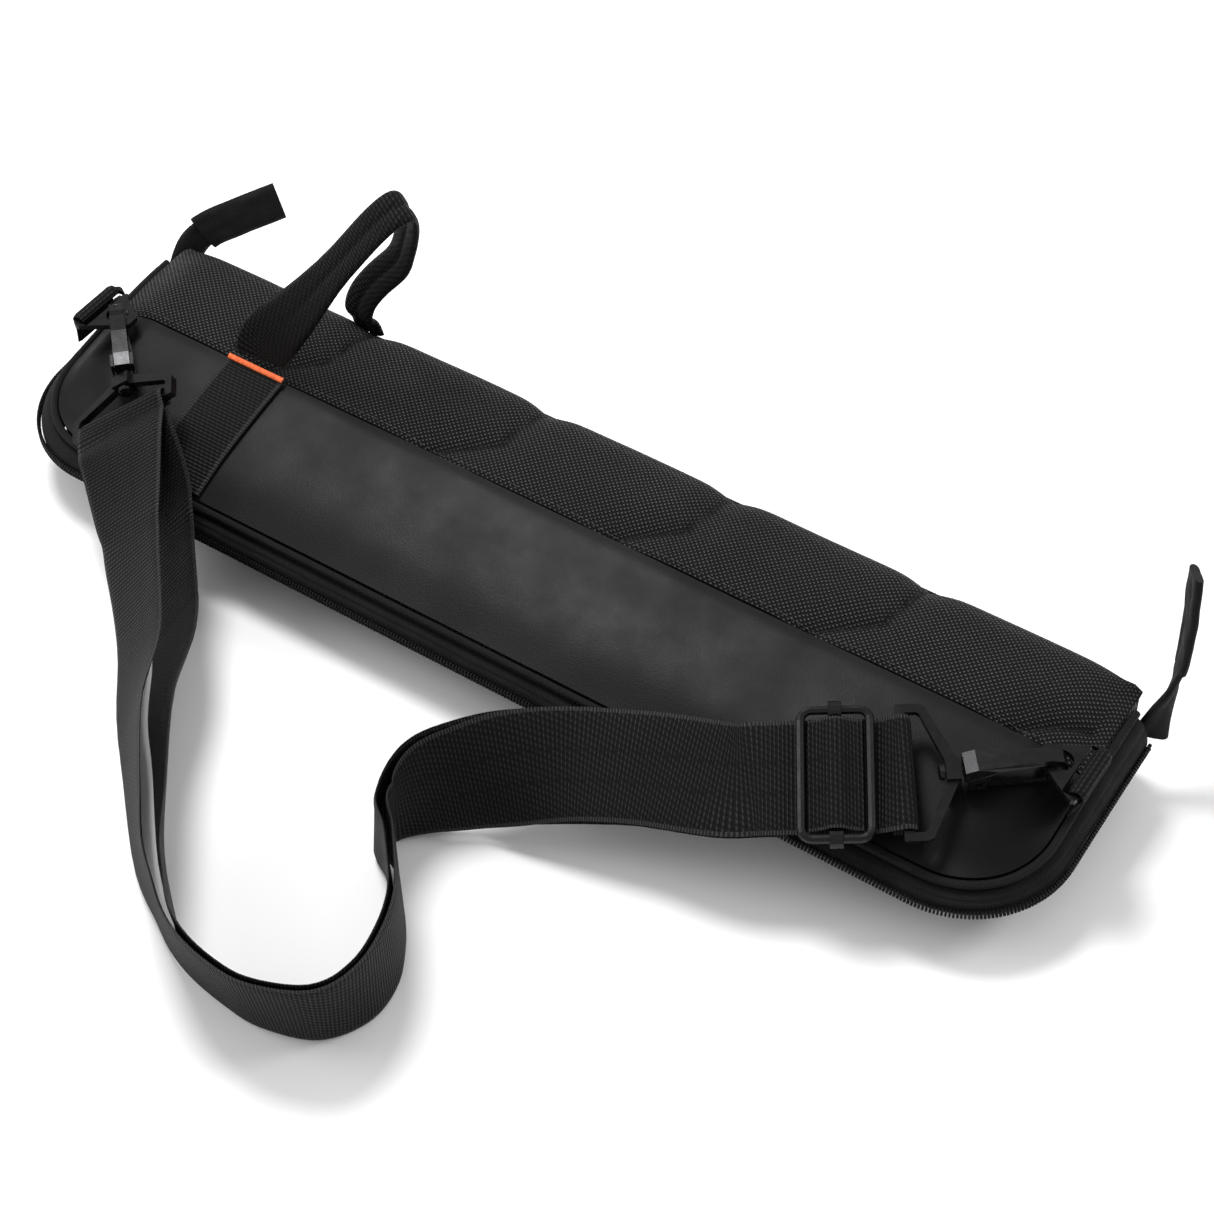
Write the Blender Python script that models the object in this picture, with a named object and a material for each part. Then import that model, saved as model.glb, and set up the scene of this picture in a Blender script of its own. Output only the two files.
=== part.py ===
"""Padded zip-around stick bag with a carry handle and a clip-on shoulder strap.

Lengths are in metres. +X runs along the bag, +Y points to the spine and +Z is up.
The origin is on the flat underside, in the middle of the bag.
"""
import bmesh
import bpy
from math import asin, atan2, cos, hypot, pi, radians, sin, sqrt
from mathutils import Matrix, Vector

# ---- driving sizes of the bag ---------------------------------------------------
PANEL_LENGTH = 0.454          # seam to seam, end to end
FRONT_Y = -0.0465             # zip-side seam
SPINE_Y = 0.0595              # outer skin of the spine
CORNER_R = 0.034              # round corners on the zip side
PAD_T = 0.005                 # padded panel thickness
SPINE_T = 0.0045              # spine strip thickness
SPINE_LOW_Z = 0.008           # where the spine strip starts, and its lower hinge line
SPINE_HIGH_Z = 0.046          # where it ends, and its upper hinge line
TOP_Z = 0.054                 # ridge height of the front cover
TRIM_SEAM_Y = 0.0135          # seam between woven nylon and smooth leatherette
TRIM_SEAM_Z = 0.049
FRONT_SEAM_Z = 0.032          # upper seam at the zip side
END_SEAM_Z = 0.044            # upper seam at the spine end
LOW_SEAM_Z = 0.014            # lower seam height
END_ROLL = 0.024              # width of the roll down to the end seams
BACK_ROLL = 0.034             # width of the roll up to the lower seam
FIT_GAP = 0.0004              # clearance between touching pieces

# ---- zip and gusset -------------------------------------------------------------
PIPE_R = 0.0016
GUSSET_T = 0.0014
GUSSET_BULGE = 0.0085
COIL_W = 0.0018
COIL_H = 0.0016
COIL_SPLIT = 0.0004

# ---- webbing --------------------------------------------------------------------
WEB_T = 0.0013
STRAP_W = 0.043
HANDLE_W = 0.028
GRIP_W = 0.015
ANCHOR_W = 0.023
LAYER_GAP = 0.0010
FLOOR_GAP = 0.0012

# ---- hardware -------------------------------------------------------------------
DEE_X = {"right": PANEL_LENGTH / 2 + 0.0010, "left": PANEL_LENGTH / 2 - 0.0028}
DEE_Y = {"right": 0.0055, "left": 0.0030}
DEE_Z = 0.0535
DEE_T = 0.0022
DEE_BASE = 0.032
DEE_DEPTH = 0.0175
DEE_HOLE_R = 0.0047
DEE_HOLE_AT = 0.0092          # hole centre inboard of the rocking axis
SLOT_W = 0.0042
HOLE_RISE = 0.0004            # the dee tip stands a little proud of its axis
HOOK_LEN = 0.0385             # stud eye to hook nose
HOOK_W = 0.0095
HOOK_NOSE_W = 0.0058
BRACKET_DEPTH = 0.0190
BRACKET_T = 0.0032
BRACKET_ARM = 0.0032
BRACKET_W = STRAP_W + 2 * BRACKET_ARM + 0.0020
BAR_R = 0.0016
STUD_R = 0.0018
STUD_BORE = 0.0023
SLIDER_L = 0.0250
SLIDER_W = STRAP_W + 0.0056
SLIDER_R = 0.0017

HALF_L = PANEL_LENGTH / 2

COLOURS = {
    "nylon": (0.020, 0.020, 0.022, 0.75, 0.0),
    "leatherette": (0.030, 0.030, 0.032, 0.45, 0.0),
    "webbing": (0.022, 0.022, 0.024, 0.8, 0.0),
    "metal": (0.09, 0.09, 0.095, 0.32, 0.9),
    "thread": (0.90, 0.21, 0.05, 0.7, 0.0),
    "lining": (0.05, 0.05, 0.055, 0.95, 0.0),
    "tape": (0.018, 0.018, 0.02, 0.85, 0.0),
    "coil": (0.03, 0.03, 0.033, 0.5, 0.0),
}


# ---- small helpers --------------------------------------------------------------
def lerp(a, b, t):
    return a + (b - a) * t


def smooth(t):
    t = min(1.0, max(0.0, t))
    return t * t * (3 - 2 * t)


def along(knots, at):
    """Smooth value through a few (place, value) knots, by cubic segments."""
    if at <= knots[0][0]:
        return knots[0][1]
    for k in range(len(knots) - 1):
        if at <= knots[k + 1][0]:
            (x0, y0), (x1, y1) = knots[k], knots[k + 1]
            before = knots[max(k - 1, 0)]
            after = knots[min(k + 2, len(knots) - 1)]
            m0 = (y1 - before[1]) / (x1 - before[0])
            m1 = (after[1] - y0) / (after[0] - x0)
            h = x1 - x0
            t = (at - x0) / h
            return ((2 * t**3 - 3 * t**2 + 1) * y0 + (t**3 - 2 * t**2 + t) * h * m0
                    + (3 * t**2 - 2 * t**3) * y1 + (t**3 - t**2) * h * m1)
    return knots[-1][1]


def add_object(name, bm, colour, smooth_angle=35):
    bmesh.ops.recalc_face_normals(bm, faces=bm.faces)
    mesh = bpy.data.meshes.new(name)
    bm.to_mesh(mesh)
    bm.free()
    mesh.shade_smooth()
    mesh.set_sharp_from_angle(angle=radians(smooth_angle))
    obj = bpy.data.objects.new(name, mesh)
    bpy.context.collection.objects.link(obj)
    red, green, blue, rough, metal = COLOURS[colour]
    mat = bpy.data.materials.new(name + "_mat")
    mat.use_nodes = True
    bsdf = mat.node_tree.nodes["Principled BSDF"]
    bsdf.inputs["Base Color"].default_value = (red, green, blue, 1)
    bsdf.inputs["Roughness"].default_value = rough
    bsdf.inputs["Metallic"].default_value = metal
    mesh.materials.append(mat)
    return obj


def grid_solid(bm, outer, inner):
    """Close two matching grids of points into one solid."""
    rows = len(outer)
    cols = len(outer[0])
    top = [[bm.verts.new(p) for p in row] for row in outer]
    low = [[bm.verts.new(p) for p in row] for row in inner]
    for i in range(rows - 1):
        for j in range(cols - 1):
            bm.faces.new((top[i][j], top[i + 1][j], top[i + 1][j + 1], top[i][j + 1]))
            bm.faces.new((low[i][j], low[i][j + 1], low[i + 1][j + 1], low[i + 1][j]))
    for i in range(rows - 1):
        for j in (0, cols - 1):
            bm.faces.new((top[i][j], low[i][j], low[i + 1][j], top[i + 1][j]))
    for j in range(cols - 1):
        for i in (0, rows - 1):
            bm.faces.new((top[i][j], top[i][j + 1], low[i][j + 1], low[i][j]))


def sweep(bm, frames, section, closed=False):
    """Sweep section points (a, b) along frames (centre, axis_a, axis_b)."""
    rings = []
    for centre, axis_a, axis_b in frames:
        rings.append([bm.verts.new(centre + axis_a * a + axis_b * b) for a, b in section])
    count = len(section)
    spans = len(rings) if closed else len(rings) - 1
    for k in range(spans):
        now = rings[k]
        then = rings[(k + 1) % len(rings)]
        for j in range(count):
            i = (j + 1) % count
            bm.faces.new((now[j], now[i], then[i], then[j]))
    if not closed:
        bm.faces.new(rings[0])
        bm.faces.new(list(reversed(rings[-1])))


def ringed(bm, rings):
    """Solid through a row of matching rings of points."""
    rings = [[bm.verts.new(p) for p in ring] for ring in rings]
    count = len(rings[0])
    for now, then in zip(rings, rings[1:]):
        for j in range(count):
            i = (j + 1) % count
            bm.faces.new((now[j], now[i], then[i], then[j]))
    bm.faces.new(rings[0])
    bm.faces.new(list(reversed(rings[-1])))


def circle(radius, count=8, squash=1.0):
    return [(radius * cos(2 * pi * k / count), squash * radius * sin(2 * pi * k / count))
            for k in range(count)]


def rectangle(width, height):
    return [(-width / 2, -height / 2), (width / 2, -height / 2),
            (width / 2, height / 2), (-width / 2, height / 2)]


def box(bm, low, high, place=Matrix()):
    size = Vector(high) - Vector(low)
    centre = (Vector(high) + Vector(low)) / 2
    matrix = place @ Matrix.Translation(centre) @ Matrix.Diagonal((*size, 1))
    bmesh.ops.create_cube(bm, size=1, matrix=matrix)


def prism(bm, outline, thick, place):
    """Extrude a flat outline of (x, y) points, centred on z = 0 of its place."""
    sides = []
    for level in (-thick / 2, thick / 2):
        sides.append([bm.verts.new(place @ Vector((x, y, level))) for x, y in outline])
    count = len(outline)
    for j in range(count):
        i = (j + 1) % count
        bm.faces.new((sides[0][j], sides[0][i], sides[1][i], sides[1][j]))
    bm.faces.new(list(reversed(sides[0])))
    bm.faces.new(sides[1])


def rod(bm, start, end, radius, count=12):
    start = Vector(start)
    end = Vector(end)
    axis = (end - start).normalized()
    side = axis.orthogonal().normalized()
    up = axis.cross(side)
    sweep(bm, [(start, side, up), (end, side, up)], circle(radius, count))


def cut(target, cutter, operation="DIFFERENCE"):
    cutter.hide_render = True
    cutter.display_type = "WIRE"
    modifier = target.modifiers.new(operation.lower(), "BOOLEAN")
    modifier.operation = operation
    modifier.solver = "EXACT"
    modifier.object = cutter


def rounded(points, radius, steps=4):
    """Round the corners of a closed (x, y) outline."""
    result = []
    count = len(points)
    for k in range(count):
        here = Vector(points[k])
        back = (Vector(points[k - 1]) - here).normalized()
        ahead = (Vector(points[(k + 1) % count]) - here).normalized()
        half = back.angle(ahead) / 2
        reach = radius / max(0.05, sin(half)) * cos(half)
        centre = here + (back + ahead).normalized() * (radius / sin(half))
        first = here + back * reach - centre
        last = here + ahead * reach - centre
        turn = atan2(first.cross(last), first.dot(last))
        for s in range(steps + 1):
            angle = turn * s / steps
            arm = Vector((first.x * cos(angle) - first.y * sin(angle),
                          first.x * sin(angle) + first.y * cos(angle)))
            result.append(tuple(centre + arm))
    return result


# ---- shape of the bag -----------------------------------------------------------
RIDGE_Y = SPINE_Y - 0.0135
TOP_PROFILE = [
    (FRONT_Y, FRONT_SEAM_Z),
    (lerp(FRONT_Y, TRIM_SEAM_Y, 0.28), lerp(FRONT_SEAM_Z, TRIM_SEAM_Z, 0.40)),
    (lerp(FRONT_Y, TRIM_SEAM_Y, 0.62), lerp(FRONT_SEAM_Z, TRIM_SEAM_Z, 0.72)),
    (TRIM_SEAM_Y, TRIM_SEAM_Z),
    (lerp(TRIM_SEAM_Y, RIDGE_Y, 0.55), lerp(TRIM_SEAM_Z, TOP_Z, 0.78)),
    (RIDGE_Y, TOP_Z),
]


def front_limit(x):
    """Zip-side seam line at a place along the bag, round at the corners."""
    inset = abs(x) - (HALF_L - CORNER_R)
    if inset <= 0:
        return FRONT_Y
    return FRONT_Y + CORNER_R - sqrt(max(0.0, CORNER_R**2 - inset**2))


def edge_distance(x, y):
    """Distance in plan from the end seam, round the corner included."""
    inset = abs(x) - (HALF_L - CORNER_R)
    drop = FRONT_Y + CORNER_R - y
    if inset > 0 and drop > 0:
        return CORNER_R - hypot(inset, drop)
    return HALF_L - abs(x)


def seam_top_z(y):
    return lerp(FRONT_SEAM_Z, END_SEAM_Z, smooth((y - FRONT_Y) / (RIDGE_Y - FRONT_Y)))


def seam_low_z(y):
    return lerp(LOW_SEAM_Z, SPINE_LOW_Z - 0.003, smooth((y - FRONT_Y) / (RIDGE_Y - FRONT_Y)))


def top_z(x, y):
    crown = along(TOP_PROFILE, y)
    low = min(crown, seam_top_z(y))
    return lerp(low, crown, sin(0.5 * pi * min(1.0, max(0.0, edge_distance(x, y)) / END_ROLL)))


def bottom_z(x, y):
    near = min(edge_distance(x, y), y - FRONT_Y)
    lift = 1 - min(1.0, max(0.0, near) / BACK_ROLL)
    return seam_low_z(y) * lift * lift


def spine_roll(x, upper):
    """Round corner from a cover's flat to the spine strip, as (y, z) points."""
    edge_z = SPINE_HIGH_Z if upper else SPINE_LOW_Z
    flat_z = top_z(x, RIDGE_Y) if upper else bottom_z(x, RIDGE_Y)
    edge_z = min(edge_z, flat_z - 0.0004) if upper else edge_z
    points = []
    for k in range(1, 5):
        angle = 0.5 * pi * k / 4
        points.append((RIDGE_Y + (SPINE_Y - RIDGE_Y) * sin(angle),
                       edge_z + (flat_z - edge_z) * cos(angle)))
    return points


def offset_line(points, amount, ends=(None, None)):
    """Shift a (y, z) line sideways by an amount, to its left."""
    result = []
    last = len(points) - 1
    for k, (y, z) in enumerate(points):
        y0, z0 = points[max(k - 1, 0)]
        y1, z1 = points[min(k + 1, last)]
        square = ends[0] if k == 0 else ends[1] if k == last else None
        if square:
            y0, z0, y1, z1 = 0.0, 0.0, square[0], square[1]
        run = hypot(y1 - y0, z1 - z0)
        result.append((y - (z1 - z0) / run * amount, z + (y1 - y0) / run * amount))
    return result


def stations(count, half=HALF_L):
    """Places along the bag, closer together towards both ends."""
    return [half * sin(0.5 * pi * (2 * k / count - 1)) for k in range(count + 1)]


def cover_lines(count, first, last, steps, upper, roll=False):
    """Outer skin as one (y, z) line at each station."""
    lines = []
    for x in stations(count):
        start = max(first, front_limit(x)) if first is not None else front_limit(x)
        line = []
        for k in range(steps + 1):
            y = lerp(start, last, k / steps)
            line.append((y, top_z(x, y) if upper else bottom_z(x, y)))
        if roll:
            line += spine_roll(x, upper)
        lines.append((x, line))
    return lines


def rolled_inside(skin, thickness, inward):
    """Inner face of a cover that rolls over into the spine strip."""
    inner = offset_line(skin[:-4], inward * thickness, (None, (1, 0)))
    flat_z = inner[-1][1]
    hinge_z = skin[-1][1]
    for k in range(1, 5):
        angle = 0.5 * pi * k / 4
        inner.append((RIDGE_Y + (SPINE_Y - thickness - RIDGE_Y) * sin(angle),
                      hinge_z + (flat_z - hinge_z) * cos(angle)))
    return inner


def panel(name, lines, thickness, inward, colour, lift=0.0, ends=(None, None), rolled=False):
    bm = bmesh.new()
    outer = []
    inner = []
    for x, line in lines:
        skin = offset_line(line, lift) if lift else line
        if rolled:
            deep = rolled_inside(skin, thickness, inward)
        else:
            deep = offset_line(skin, inward * thickness, ends)
        outer.append([(x, y, z) for y, z in skin])
        inner.append([(x, y, z) for y, z in deep])
    grid_solid(bm, outer, inner)
    return add_object(name, bm, colour)


def covers():
    panel("front_panel", cover_lines(22, None, TRIM_SEAM_Y - FIT_GAP, 7, True), PAD_T, -1,
          "leatherette")
    panel("front_nylon_panel", cover_lines(22, TRIM_SEAM_Y + FIT_GAP, RIDGE_Y, 5, True, True),
          PAD_T, -1, "nylon", rolled=True)
    panel("back_panel", cover_lines(22, None, RIDGE_Y, 10, False, True), PAD_T, 1, "leatherette",
          rolled=True)


def spine_panel():
    low = SPINE_LOW_Z + 1.5 * FIT_GAP
    lines = []
    for x in stations(22, HALF_L - 0.001):
        high = spine_roll(x, True)[-1][1] - 2.0 * FIT_GAP
        bulge = [(SPINE_Y + 0.0016 * sin(pi * k / 4), lerp(high, low, k / 4)) for k in range(5)]
        lines.append((x, bulge))
    panel("spine_panel", lines, SPINE_T, -1, "nylon", ends=((0, -1), (0, -1)))


def linings():
    inset = 0.014
    for upper, name in ((True, "front_lining"), (False, "back_lining")):
        lines = []
        for x in stations(16, HALF_L - inset):
            start = front_limit(abs(x) + inset * 0.6) + inset
            line = []
            for k in range(8):
                y = lerp(start, RIDGE_Y - 0.002, k / 7)
                line.append((y, top_z(x, y) if upper else bottom_z(x, y)))
            lines.append((x, line))
        side = -1 if upper else 1
        panel(name, lines, 0.0015, side, "lining", side * (PAD_T + 3 * FIT_GAP))


def stick_pocket():
    """Inner pocket on the back lining: a raised panel with a bound mouth."""
    lines = []
    mouth_x = 0.115
    end_x = HALF_L - 0.028
    for k in range(9):
        x = lerp(-end_x, mouth_x, k / 8)
        line = []
        for j in range(7):
            y = lerp(-0.018, 0.036, j / 6)
            line.append((y, bottom_z(x, y) + 0.0088 + 0.003 * sin(pi * j / 6)))
        lines.append((x, line))
    panel("stick_pocket", lines, 0.0022, 1, "nylon")
    bm = bmesh.new()
    frames = []
    for j in range(7):
        y = lerp(-0.018, 0.036, j / 6)
        frames.append((Vector((mouth_x + 0.0024, y, 0.0110 + 0.003 * sin(pi * j / 6))),
                       Vector((1, 0, 0)), Vector((0, 0, 1))))
    sweep(bm, frames, circle(0.0019))
    add_object("pocket_binding", bm, "tape")


# ---- piping, gusset and zip round three sides -----------------------------------
def seam_route(back_y, corner_steps=6, side_steps=5, long_steps=14):
    """Plan places and outward directions from the right spine end round to the left."""
    route = []
    middle_y = FRONT_Y + CORNER_R
    for k in range(side_steps):
        route.append((HALF_L, lerp(back_y, middle_y, k / side_steps), 1.0, 0.0))
    for k in range(corner_steps + 1):
        angle = -0.5 * pi * k / corner_steps
        route.append((HALF_L - CORNER_R + CORNER_R * cos(angle),
                      middle_y + CORNER_R * sin(angle), cos(angle), sin(angle)))
    for k in range(1, long_steps):
        route.append((lerp(HALF_L - CORNER_R, CORNER_R - HALF_L, k / long_steps), FRONT_Y, 0.0, -1.0))
    for x, y, nx, ny in reversed(route[:side_steps + corner_steps + 1]):
        route.append((-x, y, -nx, ny))
    return route


def piping(name, upper, back_y):
    bm = bmesh.new()
    frames = []
    for x, y, nx, ny in seam_route(back_y):
        out = Vector((nx, ny, 0))
        z = seam_top_z(y) - PIPE_R if upper else seam_low_z(y) + PIPE_R
        frames.append((Vector((x, y, z)) + out * (PIPE_R + FIT_GAP), out, Vector((0, 0, 1))))
    sweep(bm, frames, circle(PIPE_R))
    add_object(name, bm, "tape")


def zip_level(y):
    return lerp(0.023, 0.0275, smooth((y - FRONT_Y) / (RIDGE_Y - FRONT_Y)))


def gusset(name, upper, back_y):
    """Half of the rolled side wall, from under the piping out to the zip."""
    outer = []
    inner = []
    side = 1 if upper else -1
    for x, y, nx, ny in seam_route(back_y):
        out = Vector((nx, ny, 0))
        seam_z = seam_top_z(y) if upper else seam_low_z(y)
        start_z = seam_z - side * (2 * PIPE_R + FIT_GAP)
        end_z = zip_level(y) + side * (COIL_SPLIT / 2 + 0.0002)
        line = []
        for k in range(5):
            angle = 0.5 * pi * k / 4
            line.append((PIPE_R + (GUSSET_BULGE - PIPE_R) * sin(angle),
                         lerp(end_z, start_z, cos(angle))))
        inside = [(a - GUSSET_T, z) for a, z in line]
        place = Vector((x, y, 0))
        outer.append([place + out * a + Vector((0, 0, z)) for a, z in line])
        inner.append([place + out * a + Vector((0, 0, z)) for a, z in inside])
    bm = bmesh.new()
    grid_solid(bm, outer, inner)
    add_object(name, bm, "tape")


def coil(name, upper, back_y):
    bm = bmesh.new()
    frames = []
    side = 1 if upper else -1
    reach = GUSSET_BULGE + FIT_GAP + COIL_H / 2
    for x, y, nx, ny in seam_route(back_y):
        out = Vector((nx, ny, 0))
        z = zip_level(y) + side * (COIL_SPLIT / 2 + COIL_W / 2)
        frames.append((Vector((x, y, z)) + out * reach, out, Vector((0, 0, 1))))
    sweep(bm, frames, rectangle(COIL_H, COIL_W))
    add_object(name, bm, "coil")


SLIDER_REST_Y = 0.0330


def zip_slider():
    """Slider on the left end of the zip, riding on the outside of the coil."""
    y0 = SLIDER_REST_Y - 0.0055
    y1 = SLIDER_REST_Y + 0.0055
    inner_x = -(HALF_L + GUSSET_BULGE + FIT_GAP + COIL_H + 0.0005)
    bm = bmesh.new()
    half_h = 0.0042
    z = zip_level(SLIDER_REST_Y)
    outline = rounded([(y0, -half_h), (y1, -half_h), (y1, half_h), (y0, half_h)], 0.0018, 3)
    plate = Matrix(((0, 0, 1, inner_x - 0.00055), (1, 0, 0, 0), (0, 1, 0, z), (0, 0, 0, 1)))
    prism(bm, outline, 0.0011, plate)
    add_object("zip_slider", bm, "metal")

    bridge_x = inner_x - 0.0011 - FIT_GAP
    bm = bmesh.new()
    outline = rounded([(0.0, -0.0030), (-0.0034, -0.0030), (-0.0034, 0.0030), (0.0, 0.0030)],
                      0.0008, 2)
    hole = rounded([(-0.0007, -0.0018), (-0.0023, -0.0018), (-0.0023, 0.0018), (-0.0007, 0.0018)],
                   0.0005, 2)
    ring_prism(bm, outline, hole, 0.0030,
               Matrix.Translation((bridge_x, SLIDER_REST_Y, z)))
    add_object("zip_slider_bridge", bm, "metal")

    outline = [(-0.0014, 0.0006), (0.0014, 0.0006), (0.0026, -0.0060), (0.0032, -0.0190),
               (0.0022, -0.0215), (-0.0022, -0.0215), (-0.0032, -0.0190), (-0.0026, -0.0060)]
    upright = Matrix(((0, 0, 1, 0), (0, 1, 0, 0), (1, 0, 0, 0), (0, 0, 0, 1)))
    place = Matrix.Translation((bridge_x - 0.0044, SLIDER_REST_Y, z)) @ upright
    bm = bmesh.new()
    prism(bm, outline, 0.0011, place)
    add_object("zip_pull", bm, "metal")


def ring_prism(bm, outer, inner, thick, place):
    """Flat ring between two matching outlines, extruded."""
    loops = []
    for outline, level in ((outer, -1), (outer, 1), (inner, 1), (inner, -1)):
        loops.append([bm.verts.new(place @ Vector((x, y, level * thick / 2))) for x, y in outline])
    count = len(outer)
    for k in range(4):
        now = loops[k]
        then = loops[(k + 1) % 4]
        for j in range(count):
            i = (j + 1) % count
            bm.faces.new((now[j], now[i], then[i], then[j]))


# ---- ribbons of webbing ---------------------------------------------------------
def smooth_points(points, per_span):
    """Catmull-Rom curve through a few points."""
    result = []
    count = len(points)
    for k in range(count - 1):
        p0, p1, p2, p3 = (Vector(points[max(k - 1, 0)]), Vector(points[k]),
                          Vector(points[k + 1]), Vector(points[min(k + 2, count - 1)]))
        for s in range(per_span):
            t = s / per_span
            result.append(0.5 * (2 * p1 + (p2 - p0) * t + (2 * p0 - 5 * p1 + 4 * p2 - p3) * t * t
                                 + (3 * p1 - p0 - 3 * p2 + p3) * t**3))
    result.append(Vector(points[-1]))
    return result


def tangents(points):
    last = len(points) - 1
    return [(points[min(k + 1, last)] - points[max(k - 1, 0)]).normalized()
            for k in range(last + 1)]


def framed(points, widths):
    """Centre, width direction and face normal at each point of a ribbon."""
    result = []
    for centre, ahead, wide in zip(points, tangents(points), widths):
        across = (wide - ahead * wide.dot(ahead)).normalized()
        result.append((centre, across, ahead.cross(across)))
    return result


def ribbon(name, frames, width, thick=WEB_T, colour="webbing"):
    bm = bmesh.new()
    sweep(bm, frames, rectangle(width, thick))
    return add_object(name, bm, colour)


# ---- shoulder strap hardware ----------------------------------------------------
def place_at(origin, ahead, up):
    """Local frame: x ahead, z close to up."""
    ahead = Vector(ahead).normalized()
    side = Vector(up).cross(ahead).normalized()
    above = ahead.cross(side)
    turn = Matrix((ahead, side, above)).transposed().to_4x4()
    return Matrix.Translation(Vector(origin)) @ turn


def heading(yaw, pitch):
    return Vector((cos(radians(yaw)) * cos(radians(pitch)),
                   sin(radians(yaw)) * cos(radians(pitch)), sin(radians(pitch))))


HOLE_Z = DEE_Z + HOLE_RISE
GRAB = 0.0012                 # the dee rides this far off the hook's axis
RIGHT_HOLE = Vector((DEE_X["right"] - DEE_HOLE_AT, DEE_Y["right"], HOLE_Z))
LEFT_HOLE = Vector((DEE_HOLE_AT - DEE_X["left"], DEE_Y["left"], HOLE_Z))
RIGHT_AIM = heading(37.5, 1.0)
LEFT_AIM = heading(134, 6.0)
HOOKS = {
    "right": place_at(RIGHT_HOLE - Vector((0, 0, GRAB)) - RIGHT_AIM * HOOK_LEN, RIGHT_AIM,
                      (0, 0, 1)),
    "left": place_at(LEFT_HOLE + Vector((0, 0, GRAB)) - LEFT_AIM * HOOK_LEN, LEFT_AIM,
                     (0, 0, -1)),
}
STRAP_YAW = 34
STRAP_UP = (0.195, -0.278, 1)
BRACKETS = {
    "right": place_at(HOOKS["right"].translation, heading(STRAP_YAW, 3.0), STRAP_UP),
    "left": place_at(HOOKS["left"].translation, heading(128, 6.0), (-0.37, -0.40, 0.84)),
}
BAR_AT = -(BRACKET_DEPTH - BAR_R)
WRAP_R = BAR_R * 1.42 + FIT_GAP + WEB_T / 2


def dee_plate(side):
    sign = 1 if side == "right" else -1
    bm = bmesh.new()
    tip = -DEE_DEPTH
    outline = rounded([(0.0034, -DEE_BASE / 2), (0.0034, DEE_BASE / 2), (tip, 0.0030),
                       (tip, -0.0030)], 0.0022, 3)
    rise = asin(HOLE_RISE / DEE_HOLE_AT)
    place = (Matrix.Translation((sign * DEE_X[side], DEE_Y[side], DEE_Z))
             @ Matrix.Rotation(0 if sign > 0 else pi, 4, "Z") @ Matrix.Rotation(rise, 4, "Y"))
    prism(bm, outline, DEE_T, place)
    plate = add_object("dee_plate_" + side, bm, "metal")
    bm = bmesh.new()
    half = ANCHOR_W / 2 + 0.0008
    slot = rounded([(0.0012, -half), (0.0012, half), (0.0012 - SLOT_W, half),
                    (0.0012 - SLOT_W, -half)], 0.0008, 2)
    prism(bm, slot, 3 * DEE_T, place)
    cut(plate, add_object("dee_slot_" + side, bm, "metal"))
    bm = bmesh.new()
    rod(bm, place @ Vector((-DEE_HOLE_AT, 0, -DEE_T * 2)), place @ Vector((-DEE_HOLE_AT, 0, DEE_T * 2)),
        DEE_HOLE_R, 20)
    cut(plate, add_object("dee_hole_" + side, bm, "metal"))


def anchor_loop(side):
    """Short webbing loop that holds the dee by its outer bar."""
    sign = 1 if side == "right" else -1
    bar_x = DEE_X[side] + 0.0023
    y = DEE_Y[side]
    seam_x = HALF_L + 0.0012
    seam_z = seam_top_z(y) + 0.0006
    radius = 0.0011 + DEE_T / 2 + WEB_T / 2
    points = [Vector((seam_x + 0.0006, y, seam_z + 0.0022))]
    for k in range(7):
        angle = radians(-50 + 200 * k / 6)
        points.append(Vector((bar_x + radius * cos(angle), y, DEE_Z + radius * sin(angle))))
    points = [Vector((sign * p.x, p.y, p.z)) for p in points]
    wide = [Vector((0, 1, 0))] * len(points)
    ribbon("anchor_loop_" + side, framed(points, wide), ANCHOR_W)


def hook_outline():
    nose = HOOK_LEN
    return [(0.0036, -0.0012), (0.0036, 0.0042), (0.0080, 0.0056), (0.0200, 0.0060),
            (nose - 0.0040, 0.0058), (nose + 0.0006, 0.0046), (nose + 0.0023, 0.0016),
            (nose + 0.0023, -0.0036), (nose + 0.0004, -0.0054), (nose - 0.0030, -0.0056),
            (nose - 0.0046, -0.0048), (nose - 0.0044, -0.0034), (nose - 0.0022, -0.0030),
            (nose - 0.0018, 0.0016), (nose - 0.0038, 0.0034), (0.0160, 0.0034),
            (0.0130, 0.0020), (0.0120, -0.0012)]


PIN_X = 0.0085
PIN_Z = -0.0034
PIN_R = 0.0009


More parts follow.
